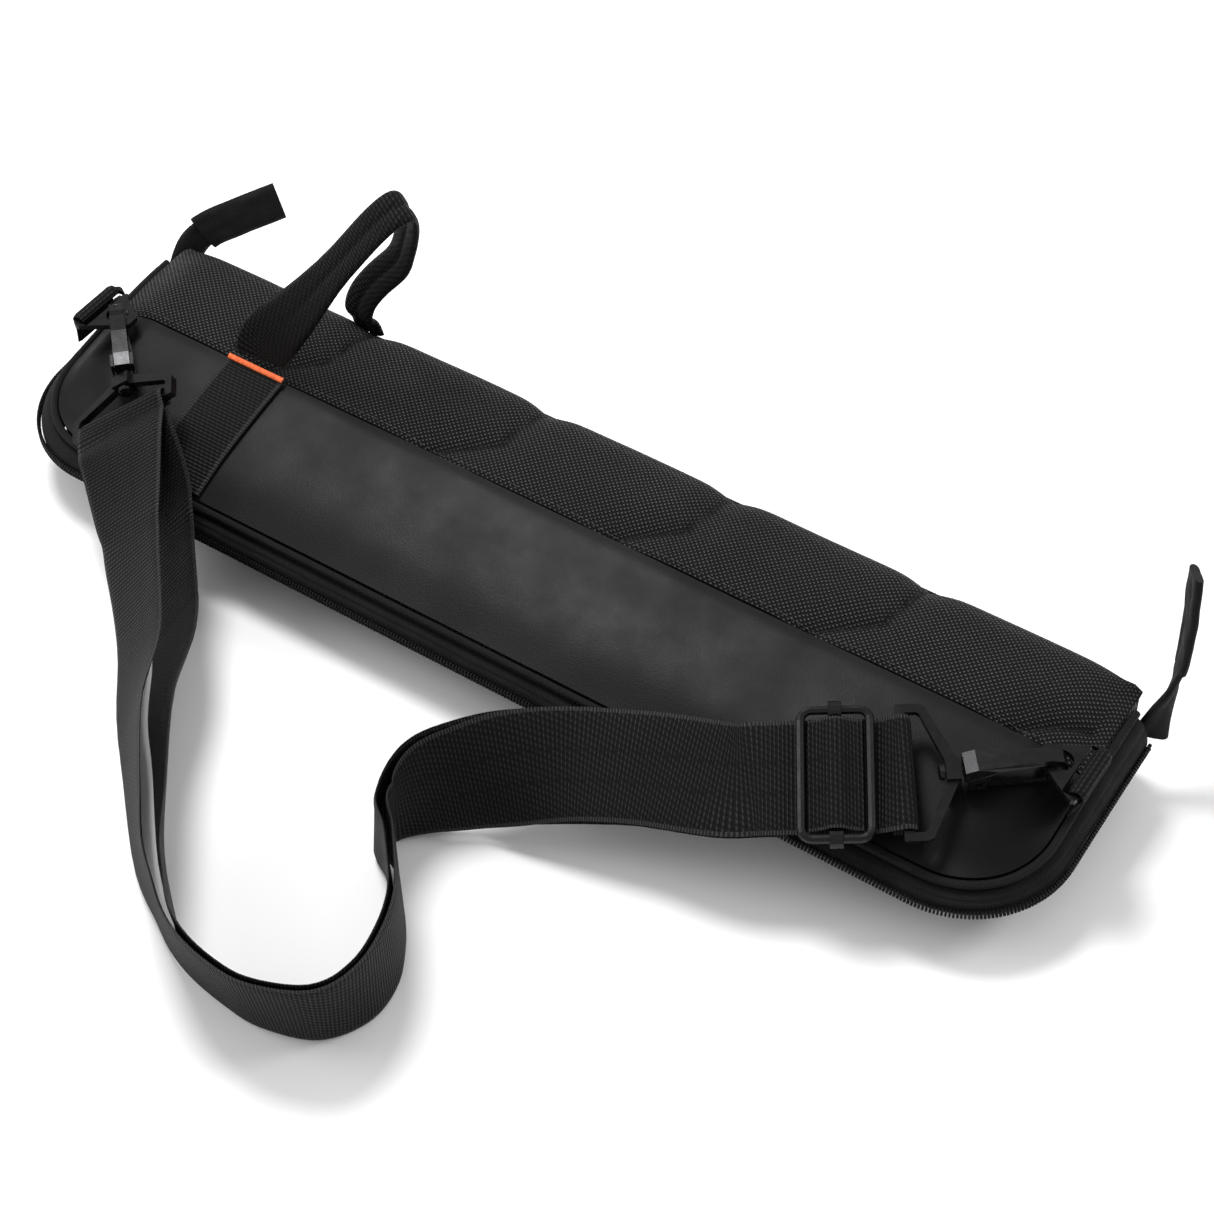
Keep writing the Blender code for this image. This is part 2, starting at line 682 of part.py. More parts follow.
def hook_parts(side):
    """Hook body with its two ears, the gate between them and the gate's pin."""
    place = HOOKS[side]
    flat = Matrix(((1, 0, 0, 0), (0, 0, -1, 0), (0, 1, 0, 0), (0, 0, 0, 1)))
    bm = bmesh.new()
    prism(bm, hook_outline(), HOOK_W, flat)
    for vert in bm.verts:
        share = smooth((vert.co.x - 0.010) / (HOOK_LEN - 0.012))
        vert.co.y *= lerp(1.0, HOOK_NOSE_W / HOOK_W, share)
    bm.transform(place)
    body = add_object("snap_hook_" + side, bm, "metal")
    for sign in (-1, 1):
        bm = bmesh.new()
        low, high = sorted((sign * 0.0034, sign * (HOOK_W / 2 - 0.0001)))
        box(bm, (0.0052, low, -0.0056), (0.0116, high, 0.0006), place)
        cut(body, add_object("ear_%s_%d" % (side, sign), bm, "metal"), "UNION")
    bm = bmesh.new()
    rod(bm, place @ Vector((PIN_X, -HOOK_W, PIN_Z)), place @ Vector((PIN_X, HOOK_W, PIN_Z)),
        PIN_R + 0.0003, 12)
    bore = add_object("pin_bore_" + side, bm, "metal")
    cut(body, bore)
    bm = bmesh.new()
    end = HOOK_LEN - 0.0051
    outline = [(0.0058, -0.0054), (0.0058, -0.0016), (0.0112, -0.0016), (0.0130, -0.0030),
               (end, -0.0034), (end, -0.0052), (0.0240, -0.0062), (0.0120, -0.0060)]
    prism(bm, outline, 0.0062, place @ flat)
    gate = add_object("hook_gate_" + side, bm, "metal")
    cut(gate, bore)
    bm = bmesh.new()
    half = HOOK_W / 2 + 0.0003
    rod(bm, place @ Vector((PIN_X, -half, PIN_Z)), place @ Vector((PIN_X, half, PIN_Z)), PIN_R, 10)
    add_object("gate_pin_" + side, bm, "metal")
    bm = bmesh.new()
    section = [(-0.0053, 0.0016), (-0.0049, 0.0028), (-0.0033, 0.0030), (-0.0033, STUD_R),
               (0.0033, STUD_R)]
    ringed(bm, [[place @ Vector((x, a, b)) for a, b in circle(radius, 12)]
                for x, radius in section])
    add_object("swivel_stud_" + side, bm, "metal")


def bracket(side):
    place = BRACKETS[side]
    half = BRACKET_W / 2
    arm = BRACKET_ARM
    back = -BRACKET_DEPTH
    outer = [(0.0027, 0.0036), (0.0010, 0.0058), (-0.0085, half - 0.0010), (-0.0105, half),
             (back, half), (back, -half), (-0.0105, -half), (-0.0085, 0.0010 - half),
             (0.0010, -0.0058), (0.0027, -0.0036)]
    near = back + 2 * BAR_R
    inner = [(-0.0027, 0.0022), (-0.0030, 0.0044), (-0.0104, half - 0.0008 - arm),
             (-0.0116, half - arm), (near, half - arm), (near, arm - half), (-0.0116, arm - half),
             (-0.0104, 0.0008 + arm - half), (-0.0030, -0.0044), (-0.0027, -0.0022)]
    bm = bmesh.new()
    ring_prism(bm, outer, inner, BRACKET_T, place)
    body = add_object("strap_bracket_" + side, bm, "metal")
    bm = bmesh.new()
    box(bm, (-0.0027, -0.0040, -0.0036), (0.0027, 0.0040, 0.0036), place)
    cut(body, add_object("bracket_boss_" + side, bm, "metal"), "UNION")
    bm = bmesh.new()
    rod(bm, place @ Vector((-0.0050, 0, 0)), place @ Vector((0.0050, 0, 0)), STUD_BORE, 16)
    cut(body, add_object("bracket_bore_" + side, bm, "metal"))


# ---- the route of the shoulder strap --------------------------------------------
SLIDER_BACK = 0.0242          # slider centre to the right bracket's bar
RIGHT_BAR = BRACKETS["right"] @ Vector((BAR_AT, 0, 0))
LEFT_BAR = BRACKETS["left"] @ Vector((BAR_AT, 0, 0))
SLIDER_DIR = heading(30, 6.0)
SLIDER_AT = RIGHT_BAR - SLIDER_DIR * SLIDER_BACK + Vector((0, 0, 0.0006))
SLIDER_PLACE = place_at(SLIDER_AT, SLIDER_DIR, STRAP_UP)
LEFT_WIDE = BRACKETS["left"].to_3x3() @ Vector((0, -1, 0))
UNDER_FRAME = SLIDER_R + FIT_GAP + WEB_T / 2
STRAP_ROUTE = [
    # centre of the strap, and the way its width points
    ((-0.1646, -0.0541, 0.0495), (0.80, 0.28, 0.52)),
    ((-0.1463, -0.0732, 0.0412), (0.85, -0.04, 0.52)),
    ((-0.1355, -0.0847, 0.0345), (0.80, -0.10, 0.58)),
    ((-0.1118, -0.1107, 0.0240), (0.70, -0.15, 0.69)),
    ((-0.0890, -0.1429, 0.0210), (0.57, -0.27, 0.77)),
    ((-0.0519, -0.1833, 0.0208), (0.46, -0.25, 0.85)),
    ((-0.0281, -0.2018, 0.0214), (0.32, -0.22, 0.92)),
    ((-0.0098, -0.2120, 0.0220), (0.22, -0.20, 0.95)),
    ((0.0112, -0.2166, 0.0222), (0.18, -0.20, 0.96)),
    ((0.0278, -0.2162, 0.0222), (0.15, -0.17, 0.97)),
    ((0.0465, -0.2083, 0.0224), (0.10, -0.14, 0.98)),
    ((0.0542, -0.1929, 0.0224), (0.02, -0.22, 0.97)),
    ((0.0529, -0.1753, 0.0222), (0.05, -0.28, 0.95)),
    ((0.0451, -0.1592, 0.0220), (0.18, -0.30, 0.93)),
    ((0.0290, -0.1400, 0.0222), (0.24, -0.26, 0.93)),
    ((0.0172, -0.1275, 0.0226), (0.14, -0.08, 0.98)),
    ((0.0208, -0.1110, 0.0236), (-0.14, 0.18, 0.97)),
    ((0.0334, -0.0961, 0.0252), (-0.26, 0.42, 0.87)),
    ((0.0465, -0.0845, 0.0265), (-0.39, 0.64, 0.66)),
    ((0.0610, -0.0752, 0.0285), (-0.46, 0.76, 0.46)),
    ((0.0769, -0.0687, 0.0317), (-0.49, 0.79, 0.36)),
    ((0.0934, -0.0635, 0.0353), (-0.50, 0.79, 0.34)),
]


def strap_centre():
    """Frames of the strap's middle, from the left bracket to the slider."""
    slider_wide = SLIDER_PLACE.to_3x3() @ Vector((0, 1, 0))
    below = -UNDER_FRAME - (WEB_T + LAYER_GAP) / 2
    lead = LEFT_BAR + (BRACKETS["left"].to_3x3() @ Vector((-0.0078, 0, 0.0006)))
    centres = [lead] + [Vector(c) for c, w in STRAP_ROUTE]
    wides = [LEFT_WIDE] + [Vector(w) for c, w in STRAP_ROUTE]
    for back in (0.0400, 0.0280, 0.0160):
        centres.append(SLIDER_PLACE @ Vector((-back, 0, below)))
        wides.append(slider_wide)
    return framed(smooth_points(centres, 5), smooth_points(wides, 5))


def layer_spread(share):
    """Extra room between the two layers, where the slack parts them."""
    left = 0.0008 * (1 - smooth(share / 0.20))
    left += 0.0130 * smooth(share / 0.08) * (1 - smooth((share - 0.14) / 0.20))
    bend = 0.0030 * smooth((share - 0.55) / 0.12) * (1 - smooth((share - 0.80) / 0.08))
    return left + bend


def above_floor(centre, wide, face):
    """Lift a point of the strap so that its lower edge clears the floor."""
    lowest = abs(wide.z) * STRAP_W / 2 + abs(face.z) * WEB_T / 2 + FLOOR_GAP
    return Vector((centre.x, centre.y, max(centre.z, lowest)))


def wrap(place, start_deg, end_deg, steps=7):
    """Centre line of a webbing turn round a bracket's bar."""
    points = []
    for k in range(steps):
        angle = radians(lerp(start_deg, end_deg, k / (steps - 1)))
        points.append(place @ Vector((BAR_AT + WRAP_R * cos(angle), 0, WRAP_R * sin(angle))))
    return points


def strap():
    middle = strap_centre()
    half = (WEB_T + LAYER_GAP) / 2
    front = [above_floor(c + n * half, w, n) for c, w, n in middle]
    widths = [w for c, w, n in middle]
    left_turn = wrap(BRACKETS["left"], -90, 112, 8)
    through = [SLIDER_PLACE @ Vector((x, 0, -UNDER_FRAME)) for x in (-0.0060, 0.0050, 0.0152)]
    right_turn = wrap(BRACKETS["right"], 125, -90, 9)
    tail = [BRACKETS["right"] @ Vector((BAR_AT - 0.0052, 0, -WRAP_R))]
    slider_wide = SLIDER_PLACE.to_3x3() @ Vector((0, 1, 0))
    right_wide = BRACKETS["right"].to_3x3() @ Vector((0, 1, 0))
    points = left_turn + front + through + right_turn + tail
    wides = ([LEFT_WIDE] * len(left_turn) + widths + [slider_wide] * len(through)
             + [right_wide] * (len(right_turn) + len(tail)))
    ribbon("strap_front_layer", framed(points, wides), STRAP_W)
    back = []
    count = len(middle) - 1
    for k, (c, w, n) in enumerate(middle[:-1]):
        back.append(above_floor(c - n * (half + layer_spread(k / count)), w, n))
    start = BRACKETS["left"] @ Vector((BAR_AT - 0.0010, 0, -WRAP_R))
    ribbon("strap_back_layer", framed([start] + back, [LEFT_WIDE] + widths[:-1]), STRAP_W)


def slider():
    place = SLIDER_PLACE
    bm = bmesh.new()
    outline = rounded([(-SLIDER_L / 2, -SLIDER_W / 2), (SLIDER_L / 2, -SLIDER_W / 2),
                       (SLIDER_L / 2, SLIDER_W / 2), (-SLIDER_L / 2, SLIDER_W / 2)], 0.004, 4)
    path = [Vector((x, y, 0)) for x, y in outline]
    count = len(path)
    frames = []
    for k, point in enumerate(path):
        ahead = (path[(k + 1) % count] - path[k - 1]).normalized()
        frames.append((point, ahead.cross(Vector((0, 0, 1))), Vector((0, 0, 1))))
    sweep(bm, frames, circle(SLIDER_R, 8), closed=True)
    bm.transform(place)
    add_object("slider_frame", bm, "metal")

    reach = SLIDER_W / 2
    bm = bmesh.new()
    rod(bm, place @ Vector((0, -reach + 0.0030, 0)), place @ Vector((0, reach - 0.0030, 0)), BAR_R, 10)
    bar = add_object("slider_bar", bm, "metal")
    for sign in (-1, 1):
        collar = []
        for radius in (SLIDER_R + 0.0016, SLIDER_R + 0.0004):
            bm = bmesh.new()
            long = 0.0024 if not collar else 0.0060
            rod(bm, place @ Vector((-long, sign * reach, 0)), place @ Vector((long, sign * reach, 0)),
                radius, 12)
            collar.append(add_object("bar_collar_%d_%d" % (sign, len(collar)), bm, "metal"))
        cut(bar, collar[0], "UNION")
        cut(bar, collar[1])

    crest = BAR_R + FIT_GAP + WEB_T / 2 + 0.0004
    points = [place @ Vector((x, 0, z)) for x, z in
              ((-0.0098, -0.0010), (-0.0072, -0.0007), (-0.0046, 0.0006), (-0.0026, crest - 0.0008),
               (0.0, crest), (0.0026, crest - 0.0008), (0.0046, 0.0006), (0.0072, -0.0007),
               (0.0098, -0.0010))]
    wide = place.to_3x3() @ Vector((0, 1, 0))
    ribbon("strap_bar_loop", framed(points, [wide] * len(points)), STRAP_W - 0.0010)


# ---- carry handle ---------------------------------------------------------------
HANDLE_SPLIT = 3              # step along the line where each foot ends
HANDLE_X = -0.1495
HANDLE_FOOT = Vector((HANDLE_X, TRIM_SEAM_Y + 0.0022, 0))
HANDLE_BACK = Vector((HANDLE_X + 0.0190, SPINE_Y - 0.0030, 0))
HANDLE_LEAN = Vector((0.52, 0.125, 1.0)).normalized()
HANDLE_SHAPE = [(0.0, 0.0012), (0.0012, 0.0100), (0.0045, 0.0330), (0.0080, 0.0560),
                (0.0125, 0.0715), (0.0165, 0.0845), (0.0220, 0.0920), (0.0285, 0.0905),
                (0.0345, 0.0815), (0.0405, 0.0680), (0.0455, 0.0530), (0.0490, 0.0390),
                (0.0500, 0.0250), (0.0483, 0.0120), (0.0470, 0.0020), (0.0502, -0.0026)]


def handle_feet():
    foot = HANDLE_FOOT.copy()
    foot.z = top_z(foot.x, foot.y) + 0.0022
    back = HANDLE_BACK.copy()
    back.z = TOP_Z + 0.0008
    return foot, back


def handle_line():
    """Centre line of the handle, from its front foot over to its back foot."""
    foot, back = handle_feet()
    run = (back - foot).normalized()
    share = (back - foot).length / HANDLE_SHAPE[-2][0]
    points = []
    for u, v in HANDLE_SHAPE:
        lean = HANDLE_LEAN.copy()
        lean.x *= smooth(v / 0.040)
        points.append(foot + run * (u * share) + lean * v)
    return smooth_points(points, 2)


def handle():
    foot, back = handle_feet()
    run = (back - foot).normalized()
    points = handle_line()
    across = run.cross(HANDLE_LEAN).normalized()
    count = len(points) - 1
    wides = []
    for k in range(count + 1):
        level = min(1.0, min(k, count - k) / 8)
        wides.append(Vector((1, 0, 0)).lerp(across, level))
    frames = framed(points, wides)
    rings = []
    for k, (centre, wide, face) in enumerate(frames):
        level = smooth((k - 1) / 6)
        width = lerp(HANDLE_W, GRIP_W, level)
        thick = lerp(WEB_T, 2.2 * WEB_T, level)
        rings.append([centre + wide * a + face * b for a, b in rectangle(width, thick)])
    low, high = HANDLE_SPLIT, count - HANDLE_SPLIT
    step = (points[low] - points[low - 1]).normalized() * FIT_GAP
    first = [corner + step for corner in rings[low]]
    step = (points[high] - points[high + 1]).normalized() * FIT_GAP
    last = [corner + step for corner in rings[high]]
    for name, part in (("handle_foot_front", rings[:low + 1]),
                       ("handle_loop", [first] + rings[low + 1:high] + [last]),
                       ("handle_foot_back", rings[high:])):
        bm = bmesh.new()
        ringed(bm, part)
        add_object(name, bm, "webbing")

    lines = []
    for k in range(4):
        x = HANDLE_X + HANDLE_W * (k / 3 - 0.5)
        line = []
        for j in range(9):
            y = lerp(FRONT_Y + 0.0006, TRIM_SEAM_Y - 0.0004, j / 8)
            line.append((y, top_z(x, y)))
        lines.append((x, line))
    panel("handle_band", lines, WEB_T, 1, "webbing", FIT_GAP)
    tack_z = top_z(HANDLE_X, TRIM_SEAM_Y) + FIT_GAP + WEB_T + FIT_GAP
    slope = atan2(TRIM_SEAM_Z - TOP_PROFILE[2][1], TRIM_SEAM_Y - TOP_PROFILE[2][0])
    bm = bmesh.new()
    place = Matrix.Translation((HANDLE_X, TRIM_SEAM_Y - 0.0018, tack_z)) @ Matrix.Rotation(slope, 4, "X")
    box(bm, (-HANDLE_W / 2, -0.0011, 0.0), (HANDLE_W / 2, 0.0011, 0.0009), place)
    add_object("handle_bar_tack", bm, "thread")


# ---- zip tails ------------------------------------------------------------------
TAIL_ROUTES = {
    # past the end of the panel, past the spine, and height
    "right": [(0.0065, 0.0010, 0.0290), (0.0080, 0.0077, 0.0430), (0.0078, 0.0127, 0.0555),
              (0.0060, 0.0180, 0.0665), (0.0020, 0.0255, 0.0865)],
    "left": [(0.0045, 0.0010, 0.0290), (0.0022, 0.0073, 0.0405), (-0.0032, 0.0130, 0.0475),
             (-0.0105, 0.0230, 0.0505), (-0.0225, 0.0390, 0.0545)],
}
TAIL_WIDE = {"right": ((-0.1, 0.75, -0.65), (-0.40, 0.60, -0.70)),
             "left": ((-0.2, -0.6, 0.7), (-0.45, 0.1, 0.85))}


def tail_points(side):
    sign = 1 if side == "right" else -1
    return [Vector((sign * (HALF_L + x), SPINE_Y + y, z)) for x, y, z in TAIL_ROUTES[side]]


def tail(side):
    route = smooth_points(tail_points(side), 4)
    first, last = (Vector(w) for w in TAIL_WIDE[side])
    count = len(route) - 1
    frames = framed(route, [first.lerp(last, smooth(k / count * 1.6)) for k in range(count + 1)])
    split = count // 2 + 1
    rings = []
    for k, (centre, wide, face) in enumerate(frames[:split]):
        width = lerp(0.012, 0.0125, k / split)
        thick = lerp(0.0046, 0.0026, k / split)
        rings.append([centre + wide * a + face * b for a, b in rectangle(width, thick)])
    bm = bmesh.new()
    ringed(bm, rings)
    add_object("zip_tail_" + side, bm, "tape")
    end = frames[split:]
    nudge = (frames[split][0] - frames[split - 1][0]).normalized() * FIT_GAP
    ribbon("tail_tab_" + side, [(c + nudge, w, n) for c, w, n in end], 0.0165, 0.0034, "tape")


# ---- joint axes -----------------------------------------------------------------
def pivots():
    """Point on the joint axis of each group of moving pieces."""
    line = handle_line()
    zip_x = -(HALF_L + GUSSET_BULGE + 2 * FIT_GAP + COIL_H + 0.0071)
    zip_z = zip_level(SLIDER_REST_Y)
    cover_line = Vector((0, SPINE_Y, SPINE_HIGH_Z))
    groups = [
        (("spine_panel",), Vector((0, SPINE_Y, SPINE_LOW_Z))),
        (("front_panel", "front_nylon_panel", "front_lining", "piping_front", "gusset_front",
          "zip_coil_front", "handle_band", "handle_bar_tack", "anchor_loop_left",
          "anchor_loop_right", "strap_front_layer", "strap_back_layer", "strap_bracket_left",
          "strap_bracket_right", "handle_foot_front", "handle_foot_back"), cover_line),
        (("handle_loop",), (line[HANDLE_SPLIT] + line[-1 - HANDLE_SPLIT]) / 2),
        (("zip_slider", "zip_slider_bridge", "zip_pull"), Vector((zip_x, SLIDER_REST_Y, zip_z))),
        (("slider_frame", "slider_bar", "strap_bar_loop"), SLIDER_PLACE.translation),
    ]
    for side, sign in (("left", -1), ("right", 1)):
        groups += [
            (("dee_plate_" + side,), Vector((sign * DEE_X[side], DEE_Y[side], DEE_Z))),
            (("snap_hook_" + side, "gate_pin_" + side, "swivel_stud_" + side),
             HOOKS[side].translation),
            (("hook_gate_" + side,), HOOKS[side] @ Vector((PIN_X, 0, PIN_Z))),
            (("zip_tail_" + side, "tail_tab_" + side), tail_points(side)[0]),
        ]
    return groups


def set_origins():
    for names, point in pivots():
        for name in names:
            obj = bpy.data.objects[name]
            obj.data.transform(Matrix.Translation(-point))
            obj.location = point


# ---- build ----------------------------------------------------------------------
def main():
    for obj in list(bpy.data.objects):
        bpy.data.objects.remove(obj, do_unlink=True)
    covers()
    spine_panel()
    linings()
    stick_pocket()
    back_y = SPINE_Y - 0.0095
    for upper, half in ((True, "front"), (False, "back")):
        piping("piping_" + half, upper, back_y)
        gusset("gusset_" + half, upper, back_y)
        coil("zip_coil_" + half, upper, back_y)
    zip_slider()
    handle()
    for side in ("left", "right"):
        dee_plate(side)
        anchor_loop(side)
        hook_parts(side)
        bracket(side)
        tail(side)
    strap()
    slider()
    set_origins()


main()
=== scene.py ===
"""Photograph-like scene of the padded stick bag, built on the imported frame.

Lengths are in metres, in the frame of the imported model.
"""
from math import cos, exp, hypot, pi, radians, sin, sqrt

import bmesh
import bpy
from mathutils import Matrix, Vector, noise


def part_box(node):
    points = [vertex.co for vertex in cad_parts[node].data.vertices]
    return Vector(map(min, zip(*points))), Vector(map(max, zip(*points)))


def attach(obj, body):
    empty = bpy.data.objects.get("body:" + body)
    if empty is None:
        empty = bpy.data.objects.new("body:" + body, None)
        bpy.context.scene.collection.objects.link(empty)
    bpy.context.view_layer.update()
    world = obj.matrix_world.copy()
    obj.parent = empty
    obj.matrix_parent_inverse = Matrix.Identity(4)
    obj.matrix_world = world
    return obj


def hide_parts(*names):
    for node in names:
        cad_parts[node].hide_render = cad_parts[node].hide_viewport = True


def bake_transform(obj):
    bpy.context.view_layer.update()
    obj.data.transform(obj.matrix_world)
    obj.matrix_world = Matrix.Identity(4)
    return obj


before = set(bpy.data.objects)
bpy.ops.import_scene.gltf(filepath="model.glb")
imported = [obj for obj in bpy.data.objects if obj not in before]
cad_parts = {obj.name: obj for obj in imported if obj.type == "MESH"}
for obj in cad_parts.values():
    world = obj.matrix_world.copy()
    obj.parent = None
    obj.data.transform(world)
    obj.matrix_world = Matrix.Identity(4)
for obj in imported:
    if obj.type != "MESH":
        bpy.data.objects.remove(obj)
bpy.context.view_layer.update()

# ---- sizes shared with the frame
PANEL_LENGTH = 0.454          # seam to seam, end to end
FRONT_Y = -0.0465             # zip-side seam
SPINE_Y = 0.0595              # outer skin of the spine
CORNER_R = 0.034              # round corners on the zip side
PAD_T = 0.005                 # padded panel thickness
SPINE_T = 0.0045              # spine strip thickness
SPINE_LOW_Z = 0.008           # where the spine strip starts, and its lower hinge line
SPINE_HIGH_Z = 0.046          # where it ends, and its upper hinge line
TOP_Z = 0.054                 # ridge height of the front cover
TRIM_SEAM_Y = 0.0135          # seam between woven nylon and smooth leatherette
TRIM_SEAM_Z = 0.049
FRONT_SEAM_Z = 0.032          # upper seam at the zip side
END_SEAM_Z = 0.044            # upper seam at the spine end
LOW_SEAM_Z = 0.014            # lower seam height
END_ROLL = 0.024              # width of the roll down to the end seams
BACK_ROLL = 0.034             # width of the roll up to the lower seam
FIT_GAP = 0.0004              # clearance between touching pieces
PIPE_R = 0.0016
GUSSET_T = 0.0014
GUSSET_BULGE = 0.0085
COIL_W = 0.0018
COIL_H = 0.0016
COIL_SPLIT = 0.0004
WEB_T = 0.0013
STRAP_W = 0.043
HANDLE_W = 0.028
GRIP_W = 0.015
ANCHOR_W = 0.023
LAYER_GAP = 0.0010
FLOOR_GAP = 0.0012
DEE_X = {"right": PANEL_LENGTH / 2 + 0.0010, "left": PANEL_LENGTH / 2 - 0.0028}
DEE_Y = {"right": 0.0055, "left": 0.0030}
DEE_Z = 0.0535
DEE_T = 0.0022
DEE_HOLE_AT = 0.0092          # hole centre inboard of the rocking axis
HOLE_RISE = 0.0004            # the dee tip stands a little proud of its axis
HOOK_LEN = 0.0385             # stud eye to hook nose
BRACKET_DEPTH = 0.0190
BAR_R = 0.0016
SLIDER_R = 0.0017
HALF_L = PANEL_LENGTH / 2
UP = Vector((0, 0, 1))


def lerp(a, b, t):
    return a + (b - a) * t


def clamp(t):
    return min(1.0, max(0.0, t))


def smooth(t):
    t = clamp(t)
    return t * t * (3 - 2 * t)


def along(knots, at):
    """Smooth value through a few (place, value) knots, by cubic segments."""
    if at <= knots[0][0]:
        return knots[0][1]
    for k in range(len(knots) - 1):
        if at <= knots[k + 1][0]:
            (x0, y0), (x1, y1) = knots[k], knots[k + 1]
            before = knots[max(k - 1, 0)]
            after = knots[min(k + 2, len(knots) - 1)]
            m0 = (y1 - before[1]) / (x1 - before[0])
            m1 = (after[1] - y0) / (after[0] - x0)
            h = x1 - x0
            t = (at - x0) / h
            return ((2 * t**3 - 3 * t**2 + 1) * y0 + (t**3 - 2 * t**2 + t) * h * m0
                    + (3 * t**2 - 2 * t**3) * y1 + (t**3 - t**2) * h * m1)
    return knots[-1][1]


def circle(radius, count=8):
    return [(radius * cos(2 * pi * k / count), radius * sin(2 * pi * k / count))
            for k in range(count)]


# ---- the bag's outer form
RIDGE_Y = SPINE_Y - 0.0135
TOP_PROFILE = [
    (FRONT_Y, FRONT_SEAM_Z),
    (lerp(FRONT_Y, TRIM_SEAM_Y, 0.28), lerp(FRONT_SEAM_Z, TRIM_SEAM_Z, 0.40)),
    (lerp(FRONT_Y, TRIM_SEAM_Y, 0.62), lerp(FRONT_SEAM_Z, TRIM_SEAM_Z, 0.72)),
    (TRIM_SEAM_Y, TRIM_SEAM_Z),
    (lerp(TRIM_SEAM_Y, RIDGE_Y, 0.55), lerp(TRIM_SEAM_Z, TOP_Z, 0.78)),
    (RIDGE_Y, TOP_Z),
]


def front_limit(x):
    """Zip-side seam line at a place along the bag, round at the corners."""
    inset = abs(x) - (HALF_L - CORNER_R)
    if inset <= 0:
        return FRONT_Y
    return FRONT_Y + CORNER_R - sqrt(max(0.0, CORNER_R**2 - inset**2))


def edge_distance(x, y):
    """Distance in plan from the end seam, round the corner included."""
    inset = abs(x) - (HALF_L - CORNER_R)
    drop = FRONT_Y + CORNER_R - y
    if inset > 0 and drop > 0:
        return CORNER_R - hypot(inset, drop)
    return HALF_L - abs(x)


def across_share(y):
    return smooth((y - FRONT_Y) / (RIDGE_Y - FRONT_Y))


def seam_top_z(y):
    return lerp(FRONT_SEAM_Z, END_SEAM_Z, across_share(y))


def seam_low_z(y):
    return lerp(LOW_SEAM_Z, SPINE_LOW_Z - 0.003, across_share(y))


def top_z(x, y):
    crown = along(TOP_PROFILE, y)
    low = min(crown, seam_top_z(y))
    return lerp(low, crown, sin(0.5 * pi * clamp(edge_distance(x, y) / END_ROLL)))


def bottom_z(x, y):
    near = min(edge_distance(x, y), y - FRONT_Y)
    lift = 1 - clamp(near / BACK_ROLL)
    return seam_low_z(y) * lift * lift


def spine_roll(x, upper):
    """Round corner from a cover's flat to the spine strip, as (y, z) points."""
    edge_z = SPINE_HIGH_Z if upper else SPINE_LOW_Z
    flat_z = top_z(x, RIDGE_Y) if upper else bottom_z(x, RIDGE_Y)
    edge_z = min(edge_z, flat_z - 0.0004) if upper else edge_z
    points = []
    for k in range(1, 5):
        angle = 0.5 * pi * k / 4
        points.append((RIDGE_Y + (SPINE_Y - RIDGE_Y) * sin(angle),
                       edge_z + (flat_z - edge_z) * cos(angle)))
    return points


def offset_line(points, amount, ends=(None, None)):
    """Shift a (y, z) line sideways by an amount, to its left."""
    result = []
    last = len(points) - 1
    for k, (y, z) in enumerate(points):
        y0, z0 = points[max(k - 1, 0)]
        y1, z1 = points[min(k + 1, last)]
        square = ends[0] if k == 0 else ends[1] if k == last else None
        if square:
            y0, z0, y1, z1 = 0.0, 0.0, square[0], square[1]
        run = hypot(y1 - y0, z1 - z0)
        result.append((y - (z1 - z0) / run * amount, z + (y1 - y0) / run * amount))
    return result


def stations(count, half=HALF_L):
    """Places along the bag, closer together towards both ends."""
    return [half * sin(0.5 * pi * (2 * k / count - 1)) for k in range(count + 1)]


def cover_lines(count, first, last, steps, upper, roll=False):
    """Outer skin as one (y, z) line at each station."""
    lines = []
    for x in stations(count):
        start = max(first, front_limit(x)) if first is not None else front_limit(x)
        line = []
        for k in range(steps + 1):
            y = lerp(start, last, k / steps)
            line.append((y, top_z(x, y) if upper else bottom_z(x, y)))
        if roll:
            line += spine_roll(x, upper)
        lines.append((x, line))
    return lines


def rolled_inside(skin, thickness, inward):
    """Inner face of a cover that rolls over into the spine strip."""
    inner = offset_line(skin[:-4], inward * thickness, (None, (1, 0)))
    flat_z = inner[-1][1]
    hinge_z = skin[-1][1]
    for k in range(1, 5):
        angle = 0.5 * pi * k / 4
        inner.append((RIDGE_Y + (SPINE_Y - thickness - RIDGE_Y) * sin(angle),
                      hinge_z + (flat_z - hinge_z) * cos(angle)))
    return inner


def seam_route(back_y, corner_steps=6, side_steps=5, long_steps=14):
    """Plan places and outward directions from the right spine end round to the left."""
    route = []
    middle_y = FRONT_Y + CORNER_R
    for k in range(side_steps):
        route.append((HALF_L, lerp(back_y, middle_y, k / side_steps), 1.0, 0.0))
    for k in range(corner_steps + 1):
        angle = -0.5 * pi * k / corner_steps
        route.append((HALF_L - CORNER_R + CORNER_R * cos(angle),
                      middle_y + CORNER_R * sin(angle), cos(angle), sin(angle)))
    for k in range(1, long_steps):
        route.append((lerp(HALF_L - CORNER_R, CORNER_R - HALF_L, k / long_steps), FRONT_Y, 0.0, -1.0))
    for x, y, nx, ny in reversed(route[:side_steps + corner_steps + 1]):
        route.append((-x, y, -nx, ny))
    return route


def zip_level(y):
    return lerp(0.023, 0.0275, across_share(y))


